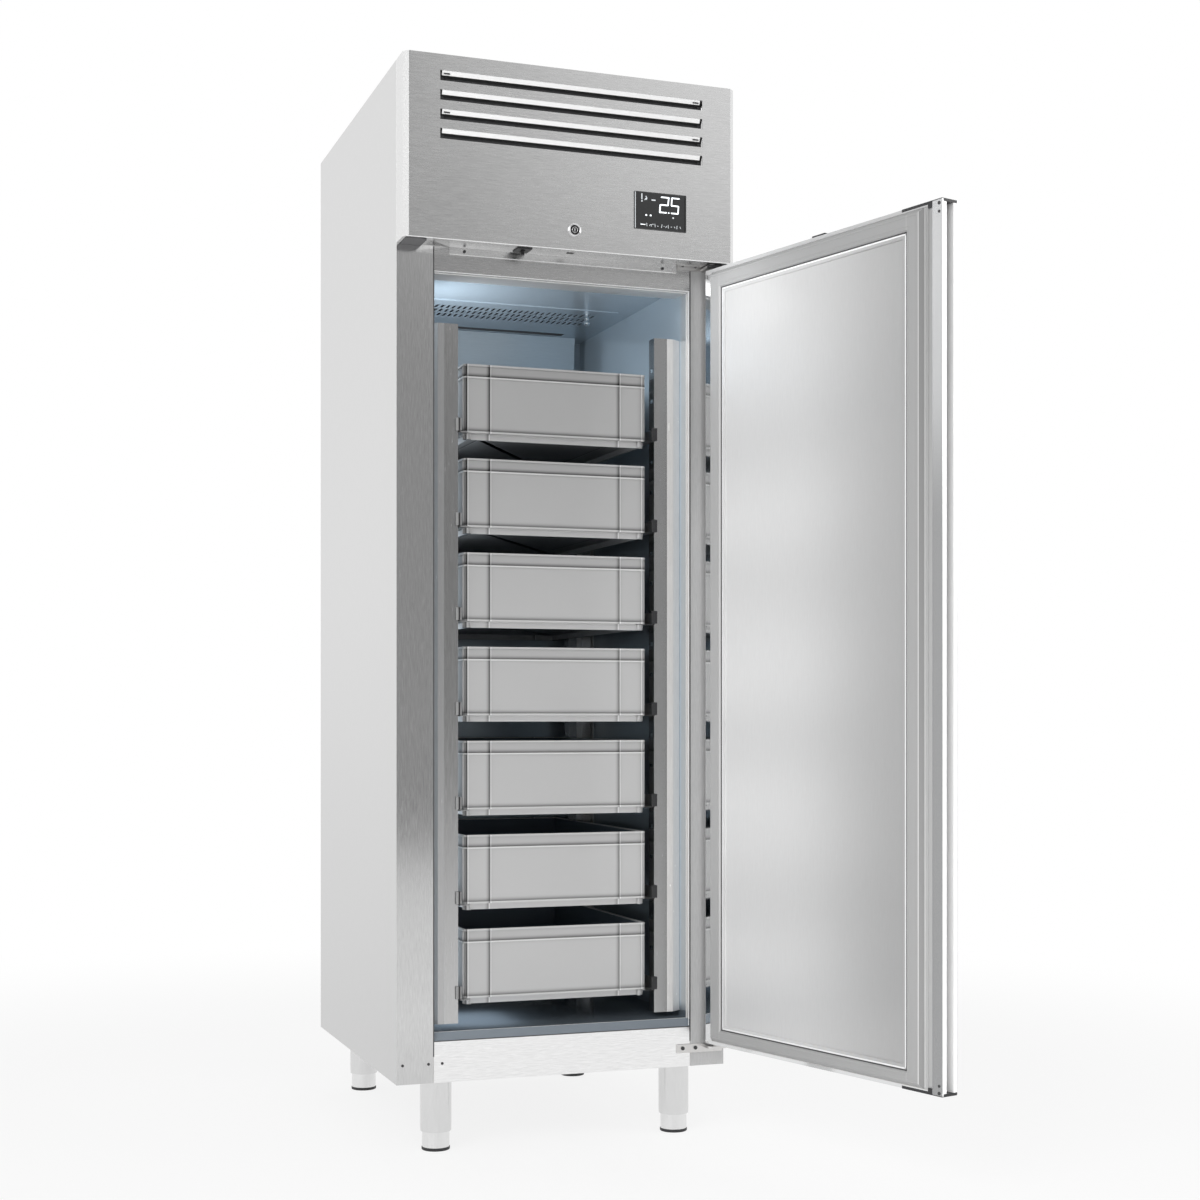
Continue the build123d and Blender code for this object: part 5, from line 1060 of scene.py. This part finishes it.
def slice_at(piece, axis, place):
    """Cut a line of edges round the piece, in a plane across an axis."""
    only(piece)
    bpy.ops.object.mode_set(mode="EDIT")
    bpy.ops.mesh.select_all(action="SELECT")
    normal = Vector((0, 0, 0))
    normal[AXES[axis]] = 1
    bpy.ops.mesh.bisect(plane_co=normal * place, plane_no=normal)
    done()


def soften(piece, width, segments=2, angle=SHARP):
    """Round the sharp edges, and keep the flat faces flat in the shading."""
    only(piece)
    bpy.ops.object.shade_smooth_by_angle(angle=math.radians(angle))
    edge = piece.modifiers.new("edge", "BEVEL")
    edge.width = width
    edge.segments = segments
    edge.limit_method = "ANGLE"
    edge.angle_limit = math.radians(angle)
    edge.harden_normals = True
    bpy.ops.object.modifier_apply(modifier="edge")
    return piece


def swing_open(piece):
    """Turn a piece that was made on the shut door out to where the open door is."""
    about_hinge = Matrix.Translation(HINGE) @ Matrix.Rotation(OPEN_TURN, 4, "Z")
    piece.matrix_world = about_hinge @ Matrix.Translation(-HINGE) @ piece.matrix_world
    return settle(piece)


# %% [markdown]
# Every piece gets its paint, the body that it moves with and its material slot. A piece that takes
# the place of a node hides it, and one that is only added to a node doesn't.
# %% Finishing a piece
def paint(piece, finish):
    piece.data.materials.clear()
    piece.data.materials.append(FINISHES[finish])


def add_to(node, piece, finish):
    paint(piece, finish)
    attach(piece, BODY_OF[node])
    print(piece.name, len(piece.data.polygons), "faces")


def stand_for(node, piece, finish):
    add_to(node, piece, finish)
    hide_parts(node)


# %% [markdown]
# ## Paint for the nodes
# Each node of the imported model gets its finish. Most are steel, and its finish depends on how the
# sheet was polished and on what stands round it.
# %% Node finishes
FEET = "leg_foot_1 leg_foot_2 leg_foot_3 leg_foot_4"
NODE_FINISH = {
    "steel_side": "side_panel_left side_panel_right back_panel bottom_panel roof_panel rear_grille",
    "steel_front_level": "fascia_panel",
    "steel_rail": "front_rails",
    "steel_blade": "fascia_louvres",
    "steel_inside": "inner_liner duct_panel evaporator_cover evaporation_tray",
    "steel_rack": "rack_posts",
    "steel_runner": "box_runners",
    "steel_mirror": "door_skin",
    "steel_pan": "door_pan",
    "steel_grip": "door_handle",
    "steel_bracket": "hinge_bracket_top",
    "steel_hinge": "hinge_bracket_bottom lock_bolt",
    "steel_leg": "leg_sleeves",
    "steel_foot": FEET,
    "hood_plastic": "evaporator_housing",
    "foam": "body_foam door_foam",
    "frame_plastic": "breaker_frame",
    "box_plastic": " ".join(f"fish_box_{index}" for index in range(1, 8)),
    "gasket_rubber": "door_gasket",
    "black_plastic": "door_end_caps door_switch_base door_switch_lever evaporator_fan_blades"
                     " condenser_fan_blades electrical_box lock_keeper lock_plug",
    "filter_mesh": "air_filter",
    "display_glass": "controller",
    "dark_plate": "hinge_cover",
    "chrome": "lock_barrel",
    "probe_glass": "temperature_probe",
    "black_paint": "cabinet_screws door_screws fascia_screws compressor condenser_fan_mount"
                   " evaporator_fan_motor",
    "aluminium_fins": "evaporator_coil condenser_coil",
    "copper": "refrigerant_pipes",
}
FINISH_OF = {node: finish for finish, nodes in NODE_FINISH.items() for node in nodes.split()}
for node, piece in NODES.items():
    paint(piece, FINISH_OF[node])
print("painted", len(FINISH_OF), "nodes")

# %% [markdown]
# ## The steel sheets and fittings
# A CAD solid has perfectly sharp edges, and folded sheet never does: each fold catches a thin line
# of light. So these nodes are copied, their loose triangles are merged into whole faces, and a small
# bevel rounds the folds. The copy keeps the size and the place of the node that it stands for.
# %% Rounded copies
MERGE = 0.01 * MM
FLAT = math.radians(0.4)
SHEET_FOLD = 0.5 * MM
FOOT_FOLD = 0.6 * MM
SHEETS = (
    "side_panel_left side_panel_right fascia_panel front_rails fascia_louvres rack_posts box_runners"
    " door_handle door_pan door_skin evaporator_cover door_end_caps door_switch_base"
    " door_switch_lever hinge_cover hinge_bracket_bottom hinge_bracket_top leg_sleeves lock_barrel"
)


def dress(node, fold):
    """Put a copy with rounded folds in the place of a node."""
    piece = copy_of(NODES[node], node + "_made")
    del piece["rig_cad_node"]
    piece.parent = None
    bpy.ops.object.mode_set(mode="EDIT")
    bpy.ops.mesh.select_all(action="SELECT")
    bpy.ops.mesh.remove_doubles(threshold=MERGE)
    bpy.ops.mesh.dissolve_limited(angle_limit=FLAT)
    done()
    stand_for(node, soften(piece, fold), FINISH_OF[node])


for nodes, fold in ((SHEETS, SHEET_FOLD), (FEET, FOOT_FOLD)):
    for node in nodes.split():
        dress(node, fold)

# %% [markdown]
# ## A fish box
# A euro box is moulded in one shot: thin walls with ribs outside, a rim, a belt under it, a hem and a
# stepped foot that drops into the box below. It is modelled as it would be drawn: one block whose
# faces are cut into bands, and the bands are pulled out as the ribs. One box is made and copied.
# %% One box
BOX_LOW, BOX_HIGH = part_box("fish_box_1")
RIB_PROUD = 3 * MM
WALL = 3 * MM
FLOOR = 1 * MM
RIM_HEIGHT = 4 * MM
BELT_TOP = 25 * MM
BELT_HEIGHT = 3 * MM
FOOT_RISE = 13 * MM
FOOT_INSET = 9 * MM
CORNER = 5 * MM
RIB_HALF = 1.2 * MM
RIB_SHARE = 0.71
SIDE_RIB_SHARE = 0.14
CAVITY_DRAFT = (0.985, 0.99, 1)
FOOT_DRAFT = (0.996, 0.998, 1)
BOX_EDGE = 0.45 * MM


def bands(piece, axis, marks):
    for mark in marks:
        slice_at(piece, axis, mark)


def moulded_box():
    low = BOX_LOW + Vector((RIB_PROUD, RIB_PROUD, FOOT_RISE))
    high = BOX_HIGH - Vector((RIB_PROUD, RIB_PROUD, 0))
    box = block("box", low, high)
    pick(box, lambda start, end: start.x == end.x and start.y == end.y, "EDGE")
    bpy.ops.mesh.bevel(offset=CORNER, segments=3, profile=0.5)
    done()
    half = (BOX_HIGH.x - BOX_LOW.x) / 2
    depth = BOX_HIGH.y - BOX_LOW.y
    corner_x = high.x - CORNER
    corner_y = (low.y + CORNER, high.y - CORNER)
    ribs_x = [side * half * RIB_SHARE for side in (-1, 1)]
    ribs_y = [low.y + depth * SIDE_RIB_SHARE, high.y - depth * SIDE_RIB_SHARE]
    upright = [corner_x - 2 * RIB_HALF, corner_x, -corner_x + 2 * RIB_HALF, -corner_x]
    for rib in ribs_x:
        upright += [rib - RIB_HALF, rib + RIB_HALF]
    inward = [corner_y[0] + 2 * RIB_HALF, corner_y[0], corner_y[1] - 2 * RIB_HALF, corner_y[1]]
    for rib in ribs_y:
        inward += [rib - RIB_HALF, rib + RIB_HALF]
    level = [
        low.z + RIM_HEIGHT, high.z - RIM_HEIGHT,
        high.z - BELT_TOP, high.z - BELT_TOP - BELT_HEIGHT,
    ]
    bands(box, "x", upright)
    bands(box, "y", inward)
    bands(box, "z", level)

    def near(value, places):
        return any(abs(value - place) < RIB_HALF * 0.9 for place in places)

    corner_ribs_x = [corner_x - RIB_HALF, -corner_x + RIB_HALF]
    corner_ribs_y = [corner_y[0] + RIB_HALF, corner_y[1] - RIB_HALF]

    def is_rib(centre, normal):
        if abs(normal.z) > 0.5:
            return False
        if centre.z > high.z - RIM_HEIGHT or centre.z < low.z + RIM_HEIGHT:
            return True
        if high.z - BELT_TOP - BELT_HEIGHT < centre.z < high.z - BELT_TOP:
            return True
        if abs(normal.y) > 0.9:
            return near(centre.x, ribs_x + corner_ribs_x)
        if abs(normal.x) > 0.9:
            return near(centre.y, ribs_y + corner_ribs_y)
        return False

    def inside_ribs(centre):
        return abs(centre.x) < high.x and low.y < centre.y < high.y

    pick(box, is_rib)
    swell(RIB_PROUD)
    done()
    top = high.z - 0.1 * MM
    pick(box, lambda centre, normal: normal.z > 0.9 and centre.z > top and inside_ribs(centre))
    bpy.ops.mesh.dissolve_faces()
    inset(WALL)
    pull((0, 0, low.z + WALL - high.z))
    bpy.ops.transform.resize(value=CAVITY_DRAFT)
    done()
    foot = low.z + 0.1 * MM
    pick(box, lambda centre, normal: normal.z < -0.9 and centre.z < foot and inside_ribs(centre))
    bpy.ops.mesh.dissolve_faces()
    inset(FOOT_INSET)
    pull((0, 0, -FOOT_RISE))
    bpy.ops.transform.resize(value=FOOT_DRAFT)
    inset(WALL)
    pull((0, 0, FOOT_RISE - FLOOR))
    done()
    return soften(box, BOX_EDGE)


# %% [markdown]
# The seven boxes are copies of the one, each let down to its own pair of runners.
# %% Seven boxes
pattern = moulded_box()
for index in range(1, 8):
    node = f"fish_box_{index}"
    box = copy_of(pattern, node + "_made")
    box.location.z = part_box(node)[0].z - BOX_LOW.z
    stand_for(node, settle(box), "box_plastic")
bpy.data.objects.remove(pattern)

# %% [markdown]
# ## The door seal
# The seal is a soft magnetic strip with mitred corners: a lip and a slope outside, a flat crown with
# two fine grooves, and a rounded slope down to the panel. Its section is drawn as a row of insets,
# each with a depth, on one face. The bottom strip is narrower than the sides, so in the middle of the
# crown the face is stretched to the shape of the opening. It is made with the door shut, where its
# faces are square to the axes, and is then swung open.
# %% The seal
SEAL_SEAT = -387.0
SEAL_BACK = 0.8
SEAL_OUTER = (-308, 308, 202, 1781.2)
SEAL_OPENING = (-268.3, 268.3, 229, 1744.2)
OUTER_STEPS = ((1.2, 1.2), (0.6, 0.0), (6.2, 9.0), (1.0, 0.8), (3.0, 0.0), (0.5, -0.7), (0.5, 0.7))
INNER_STEPS = ((0.5, -0.7), (0.5, 0.7), (2.2, 0.0), (2.4, -1.0), (2.2, -2.6), (0.8, -3.6))
MIDDLE_INSET = 1.0
SEAL_EDGE = 0.5 * MM
SEAL_SHARP = 24


def grown(frame_mm, margin):
    left, right, foot, top = frame_mm
    return (left - margin, right + margin, foot - margin, top + margin)


def stretch_to(piece, frame_mm):
    """Move the one selected face of a shut-door piece to a frame of left, right, foot and top."""
    left, right, foot, top = [value * MM for value in frame_mm]
    bpy.ops.object.mode_set(mode="OBJECT")
    points = [vertex.co.copy() for vertex in piece.data.vertices if vertex.select]
    bpy.ops.object.mode_set(mode="EDIT")
    low = Vector([min(point[axis] for point in points) for axis in range(3)])
    high = Vector([max(point[axis] for point in points) for axis in range(3)])
    centre = (low + high) / 2
    scale = ((right - left) / (high.x - low.x), 1, (top - foot) / (high.z - low.z))
    bpy.ops.transform.resize(value=scale, center_override=centre)
    shift = ((left + right) / 2 - centre.x, 0, (foot + top) / 2 - centre.z)
    bpy.ops.transform.translate(value=shift)


def door_seal():
    left, right, foot, top = [value * MM for value in SEAL_OUTER]
    seat = SEAL_SEAT * MM
    seal = block("door_seal", (left, seat, foot), (right, seat + SEAL_BACK * MM, top))
    pick(seal, lambda centre, normal: normal.y > 0.5)
    for width, rise in OUTER_STEPS:
        inset(width * MM, rise * MM)
    crown_edge = sum(width for width, _ in INNER_STEPS)
    inset(MIDDLE_INSET * MM)
    stretch_to(seal, grown(SEAL_OPENING, crown_edge))
    for width, rise in INNER_STEPS:
        inset(width * MM, rise * MM)
    done()
    pick(seal, lambda centre, normal: normal.y < -0.5)
    inset(MIDDLE_INSET * MM)
    stretch_to(seal, SEAL_OPENING)
    done()
    middle = Vector((0, 0, (SEAL_OPENING[2] + SEAL_OPENING[3]) / 2 * MM))
    pick(seal, lambda centre, normal: abs(normal.y) > 0.5 and (centre - middle).xz.length < 0.01)
    bpy.ops.mesh.bridge_edge_loops()
    done()
    return swing_open(soften(seal, SEAL_EDGE, 3, SEAL_SHARP))


stand_for("door_gasket", door_seal(), "gasket_rubber")

# %% [markdown]
# ## The controller
# The controller is a flat dark glass in a thin bevelled frame. A faintly glowing strip on the frame's
# left edge is a painted highlight, and a black strip on its right edge is painted shade.
# %% Case and glass
CASE_LOW, CASE_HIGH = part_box("controller")
CASE_BEVEL = 1.4 * MM
CASE_RIM = 0.8 * MM
CASE_STEP = 0.3 * MM
GLASS_SINK = 0.25 * MM
CASE_EDGE = 0.35 * MM
GLASS_SIDE = 2.6 * MM
GLASS_END = 1.3 * MM
GLASS_BACK = 0.9 * MM
GLASS_EDGE = 0.1 * MM
SHINE_PLACE = (3.2 * MM, 4.4 * MM)
SHINE_MARGIN = 1.4 * MM
SHADE_PLACE = (4.6 * MM, 0.6 * MM)
SHADE_MARGIN = 0.6 * MM
MARK_PLANE = CASE_LOW.y + GLASS_SINK - 0.12 * MM
MARK_RISE = 0.1 * MM


def controller_case():
    case = block("controller_case", CASE_LOW, CASE_HIGH)
    pick(case, lambda centre, normal: normal.y < -0.5)
    bpy.ops.transform.resize(value=(1 - 2.0 * CASE_BEVEL / (CASE_HIGH.x - CASE_LOW.x), 1, 1))
    inset(CASE_RIM)
    inset(CASE_STEP, -GLASS_SINK)
    done()
    return soften(case, CASE_EDGE)


def edge_strip(name, left, right, margin, finish):
    """A flat upright strip on the case, between two places across it."""
    low = (left, MARK_PLANE - MARK_RISE, CASE_LOW.z + margin)
    high = (right, MARK_PLANE, CASE_HIGH.z - margin)
    add_to("controller", block(name, low, high), finish)


stand_for("controller", controller_case(), "case_plastic")
glass = block(
    "controller_glass",
    (CASE_LOW.x + GLASS_SIDE, MARK_PLANE, CASE_LOW.z + GLASS_END),
    (CASE_HIGH.x - GLASS_SIDE, CASE_LOW.y + GLASS_BACK, CASE_HIGH.z - GLASS_END),
)
add_to("controller", soften(glass, GLASS_EDGE, 1), "display_glass")
shine = [CASE_LOW.x + place for place in SHINE_PLACE]
shade = [CASE_HIGH.x - place for place in SHADE_PLACE]
# A glowing strip on the left edge, as a painted highlight.
edge_strip("case_painted_highlight", *shine, SHINE_MARGIN, "display_dim")
# A black strip on the right edge, as painted shade.
edge_strip("case_painted_shade", *shade, SHADE_MARGIN, "black_glossy")

# %% [markdown]
# The figures are lit strokes with rounded ends, a little slanted, and under them runs a row of tiny
# key marks. The strokes are separate flat bars on the glass, so they stay crisp however close the
# view is. They are placed in shares of the face: across from its left edge, and down from its top.
# Where a row has a fifth number, it is the stroke's own width in millimetres.
# %% Marks on the glass
FIGURES = (
    (0.525, 0.105, 0.655, 0.105), (0.662, 0.11, 0.650, 0.30), (0.640, 0.31, 0.512, 0.31),
    (0.502, 0.32, 0.492, 0.50), (0.495, 0.512, 0.612, 0.512),
    (0.732, 0.105, 0.856, 0.105), (0.722, 0.11, 0.714, 0.30), (0.722, 0.31, 0.834, 0.31),
    (0.848, 0.32, 0.838, 0.50), (0.716, 0.512, 0.830, 0.512),
    (0.658, 0.512, 0.664, 0.512),
)
SMALL_LAMPS = (
    (0.236, 0.62, 0.2385, 0.62, 3.4), (0.318, 0.62, 0.3205, 0.62, 3.4),
    (0.135, 0.875, 0.215, 0.875, 1.5),
)
SIGNS = (
    (0.345, 0.205, 0.405, 0.205, 2.4), (0.155, 0.065, 0.155, 0.20, 2.2),
    (0.155, 0.255, 0.157, 0.255, 3.0), (0.212, 0.215, 0.232, 0.175, 1.8),
    (0.232, 0.12, 0.25, 0.165, 1.8), (0.25, 0.165, 0.243, 0.205, 1.8),
    (0.745, 0.635, 0.748, 0.635, 3.2),
)
KEY_MARKS = (
    (0.245, 0.84, 0.25, 0.91), (0.30, 0.90, 0.315, 0.86), (0.332, 0.86, 0.332, 0.91),
    (0.352, 0.85, 0.372, 0.85), (0.40, 0.84, 0.405, 0.92), (0.447, 0.89, 0.462, 0.89),
    (0.535, 0.84, 0.525, 0.92), (0.572, 0.88, 0.578, 0.88), (0.605, 0.91, 0.622, 0.87),
    (0.65, 0.84, 0.655, 0.92), (0.705, 0.88, 0.72, 0.88), (0.765, 0.87, 0.78, 0.90),
    (0.82, 0.84, 0.815, 0.92), (0.875, 0.86, 0.89, 0.90),
)
FIGURE_WIDTH = 2.7
KEY_MARK_WIDTH = 1.1


def stroke(start, end, width):
    """A flat lit bar with rounded ends between two points of the face."""
    start, end = Vector(start), Vector(end)
    along_bar = end - start
    length = along_bar.length + width
    bar = block("stroke", (-length / 2, -MARK_RISE, -width / 2), (length / 2, 0, width / 2))
    pick(bar, lambda a, b: abs(a.y - b.y) > MARK_RISE / 2, "EDGE")
    bpy.ops.mesh.bevel(offset=width * 0.42, segments=2)
    done()
    bar.rotation_euler.y = math.atan2(-along_bar.z, along_bar.x)
    bar.location = (start + end) / 2
    return settle(bar)


def on_face(across, down):
    x = CASE_LOW.x + across * (CASE_HIGH.x - CASE_LOW.x)
    z = CASE_HIGH.z - down * (CASE_HIGH.z - CASE_LOW.z)
    return (x, MARK_PLANE, z)


def marks(name, rows, finish, width=None):
    bars = [
        stroke(on_face(*row[:2]), on_face(*row[2:4]), (width or row[4]) * MM)
        for row in rows
    ]
    add_to("controller", join(name, bars), finish)


marks("display_figures", FIGURES, "display_light", FIGURE_WIDTH)
marks("display_lamps", SMALL_LAMPS, "display_light")
marks("display_signs", SIGNS, "display_dim")
marks("display_keys", KEY_MARKS, "display_dim", KEY_MARK_WIDTH)

# %% [markdown]
# ## Louvre clips
# A dark clip shows near both ends of two louvre blades.
# %% Louvre clips
CLIP_SIZE = Vector((13, 1.6, 2.6)) * MM
CLIP_X = 263 * MM
CLIP_Y = -433.2 * MM
CLIP_LEVELS = (2125.8, 2050.2)
CLIP_EDGE = 0.6 * MM


def louvre_clips():
    clips = []
    for level in CLIP_LEVELS:
        for side in (-1, 1):
            centre = Vector((side * CLIP_X, CLIP_Y, level * MM))
            clip = block("clip", centre - CLIP_SIZE / 2, centre + CLIP_SIZE / 2)
            clips.append(soften(clip, CLIP_EDGE))
    return join("louvre_clips", clips)


add_to("fascia_louvres", louvre_clips(), "black_plastic")

# %% [markdown]
# ## The lock
# The lock's barrel ends in a raised chrome ring with a black face inside it. The key plug shows in
# the middle as a small cup, a thin ring round it and an upright bar.
# %% Lock
LOCK_Z = 1842.2 * MM
LOCK_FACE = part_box("lock_barrel")[0].y
KEY_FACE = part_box("lock_plug")[0].y
PLUG_FRONT = LOCK_FACE - 0.6 * MM
PLUG_BAR = Vector((0.7, 0.4, 3.6)) * MM
PLUG_RING = (5.6 * MM, 0.55 * MM)
LOCK_RING = (11.4 * MM, 1.9 * MM)
FACE_RADIUS = 10.2 * MM
FACE_THICK = 0.8 * MM
CUP_RADIUS = 3.4 * MM
CUP_THICK = 1.0 * MM
CUP_WALL = 0.8 * MM
CUP_DEPTH = 0.5 * MM
PROUD = 0.1 * MM
LOCK_EDGE = 0.2 * MM


def key_cup():
    cup = rod("keyhole_ring", (0, KEY_FACE - PROUD, LOCK_Z), CUP_RADIUS, CUP_THICK, "y", 32)
    pick(cup, lambda centre, normal: normal.y < -0.5)
    inset(CUP_WALL)
    pull((0, CUP_DEPTH, 0))
    done()
    return soften(cup, LOCK_EDGE)


def plug_bar():
    low = (-PLUG_BAR.x, PLUG_FRONT - PLUG_BAR.y, LOCK_Z - PLUG_BAR.z)
    return soften(block("plug_slot", low, (PLUG_BAR.x, PLUG_FRONT, LOCK_Z + PLUG_BAR.z)), LOCK_EDGE)


add_to("lock_plug", key_cup(), "black_glossy")
add_to("lock_barrel", ring("lock_ring", (0, LOCK_FACE + 2 * PROUD, LOCK_Z), *LOCK_RING), "chrome")
face = rod("lock_face", (0, LOCK_FACE - PROUD, LOCK_Z), FACE_RADIUS, FACE_THICK, "y")
add_to("lock_barrel", soften(face, LOCK_EDGE), "black_glossy")
add_to("lock_plug", ring("plug_ring", (0, PLUG_FRONT, LOCK_Z), *PLUG_RING), "chrome")
add_to("lock_plug", plug_bar(), "chrome")

# %% [markdown]
# ## Hems, beads and painted shade in gaps
# The fascia and its lip end below in flattened hems, shown as two fine pale strips that are painted
# highlights. The plastic frame round the opening has a pale bead along its head and on its right, also
# painted highlights, and a dark strip of painted shade where it meets the steel. A dark plate is
# painted shade in the bolt's slot. Each is a thin rounded strip, given by its lowest and highest
# corners in millimetres.
# %% Thin strips
STRIP_EDGE = 0.35 * MM
FASCIA_STRIPS = {
    "fascia_hem": ((-345, -435.1, 1801.7), (345, -433.7, 1803.4)),
    "lip_hem": ((-242, -376.7, 1787.3), (242, -375.3, 1788.9)),
}
HEAD_BEADS = {
    "frame_bead": ((-273, -375.0, 1751.8), (273, -373.6, 1753.2)),
    "frame_bead_back": ((-273, -357.4, 1751.8), (273, -356.2, 1753.0)),
}
FRAME_GAP_SHADES = {
    "frame_gap_shade_left": ((-275.6, -375.8, 194), (-273.4, -374.2, 1801)),
    "frame_gap_shade_right": ((273.4, -375.8, 194), (275.6, -374.2, 1801)),
    "frame_gap_shade_foot": ((-274, -375.8, 223.2), (274, -374.2, 225.2)),
}
RIGHT_BEADS = {
    "frame_bead_right": ((270.4, -375.6, 227), (271.8, -374.6, 1751)),
    "liner_bead_right": ((272.9, -357.4, 227), (274.1, -356.2, 1751)),
}
BOLT_SLOT_SHADE = {"bolt_slot_shade": ((-7, -410.5, 1801.5), (7, -404.5, 1802.6))}


def thin_strips(rows, node, finish):
    for name, (low, high) in rows.items():
        strip = block(name, Vector(low) * MM, Vector(high) * MM)
        add_to(node, soften(strip, STRIP_EDGE), finish)


# The pale strips are painted highlights, and the dark ones painted shade in gaps and in the bolt's
# slot.
thin_strips(FASCIA_STRIPS, "fascia_panel", "painted_edge_highlight")
thin_strips(HEAD_BEADS, "breaker_frame", "painted_edge_highlight")
thin_strips(FRAME_GAP_SHADES, "breaker_frame", "painted_gap_shade")
thin_strips(RIGHT_BEADS, "breaker_frame", "painted_edge_highlight")
thin_strips(BOLT_SLOT_SHADE, "fascia_panel", "painted_gap_shade")

# %% [markdown]
# ## Edges of the door's pan
# Where the pan's edge turns into its face, a fine pale line is a painted highlight, and a dark one
# beside the seal is painted shade. Each is a thin frame of four strips, made on the shut door.
# %% Lines round the pan
PAN_BACK = -380.0
PAN_HIGHLIGHT = dict(left=-266.2, right=266.2, foot=231, top=1742.4, width=3.0, depth=(-0.6, 0.3))
PAN_SHADOW = dict(left=-268.5, right=268.5, foot=228.8, top=1744.4, width=2.0, depth=(-0.6, 0.6))


def pan_frame(name, left, right, foot, top, width, depth):
    back, front = PAN_BACK + depth[0], PAN_BACK + depth[1]
    strips = [
        block(name, Vector((x0, back, z0)) * MM, Vector((x1, front, z1)) * MM)
        for x0, z0, x1, z1 in (
            (left, foot, left + width, top), (right - width, foot, right, top),
            (left, foot, right, foot + width), (left, top - width, right, top),
        )
    ]
    return swing_open(join(name, strips))


# A pale painted highlight round the pan's edge, and a dark painted shadow beside the seal.
add_to("door_pan", pan_frame("pan_highlight", **PAN_HIGHLIGHT), "painted_edge_highlight")
add_to("door_pan", pan_frame("pan_shadow", **PAN_SHADOW), "painted_gap_shade")

# %% [markdown]
# ## The keeper
# The keeper on the door's top edge has a raised rim round the slot that the bolt drops into. Four
# blocks leave the slot open between them.
# %% Keeper rim
KEEPER_Z = (1794.9, 1799.6)
RIM_X = (-16.5, 20.5)
RIM_Y = (-418, -406)
SLOT_X = (-6.5, 10.5)
SLOT_Y = (-414.4, -409.6)
RIM_EDGE = 0.6 * MM


def keeper_rim():
    sides = (
        (RIM_X, (RIM_Y[0], SLOT_Y[0])), (RIM_X, (SLOT_Y[1], RIM_Y[1])),
        ((RIM_X[0], SLOT_X[0]), RIM_Y), ((SLOT_X[1], RIM_X[1]), RIM_Y),
    )
    blocks = [
        block("keeper_part", *(Vector(corner) * MM for corner in zip(x, y, KEEPER_Z)))
        for x, y in sides
    ]
    return swing_open(soften(join("keeper_rim", blocks), RIM_EDGE))


add_to("lock_keeper", keeper_rim(), "black_plastic")

# %% [markdown]
# ## Rivets
# Rivets hold the back sheet to the sides. Each head is a short rod with a well rounded edge.
# %% Rivets at the back
BACK_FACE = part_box("back_panel")[1].y
RIVET_LEVELS = [230 + 200 * index for index in range(9)]
RIVET_X = 338
RIVET_RADIUS = 4 * MM
RIVET_LENGTH = 1.6 * MM
RIVET_PROUD = 0.6 * MM
RIVET_EDGE = 0.7 * MM


def rivets():
    heads = []
    for level in RIVET_LEVELS:
        for side in (-1, 1):
            centre = (side * RIVET_X * MM, BACK_FACE + RIVET_PROUD, level * MM)
            head = rod("rivet", centre, RIVET_RADIUS, RIVET_LENGTH, "y", 24)
            heads.append(soften(head, RIVET_EDGE, 3))
    return join("back_rivets", heads)


add_to("back_panel", rivets(), "chrome")

# %% [markdown]
# ## The condenser fan's guard
# A guard of wire rings on four spokes closes the fan's mouth at the back of its shroud.
# %% Fan guard
FAN_LOW, FAN_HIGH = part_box("condenser_fan_blades")
FAN_CENTRE = (FAN_LOW + FAN_HIGH) / 2
GUARD_Y = FAN_HIGH.y + 9 * MM
GUARD_RINGS = (44, 59, 74, 89, 104, 112)
RING_WIRE = 1.1 * MM
SPOKE_WIRE = 1.3 * MM
SPOKE_LENGTH = 74 * MM
SPOKE_MIDDLE = 78 * MM
SPOKE_BACK = 1.8 * MM


def fan_guard():
    wires = [
        ring("wire", (FAN_CENTRE.x, GUARD_Y, FAN_CENTRE.z), radius * MM, RING_WIRE, 64)
        for radius in GUARD_RINGS
    ]
    for index in range(4):
        spoke = rod("spoke", (0, 0, SPOKE_MIDDLE), SPOKE_WIRE, SPOKE_LENGTH, "z", 12)
        spoke.rotation_euler.y = math.radians(45 + 90 * index)
        settle(spoke)
        spoke.location = (FAN_CENTRE.x, GUARD_Y + SPOKE_BACK, FAN_CENTRE.z)
        wires.append(settle(spoke))
    return join("fan_guard", wires)


add_to("condenser_fan_mount", fan_guard(), "chrome")
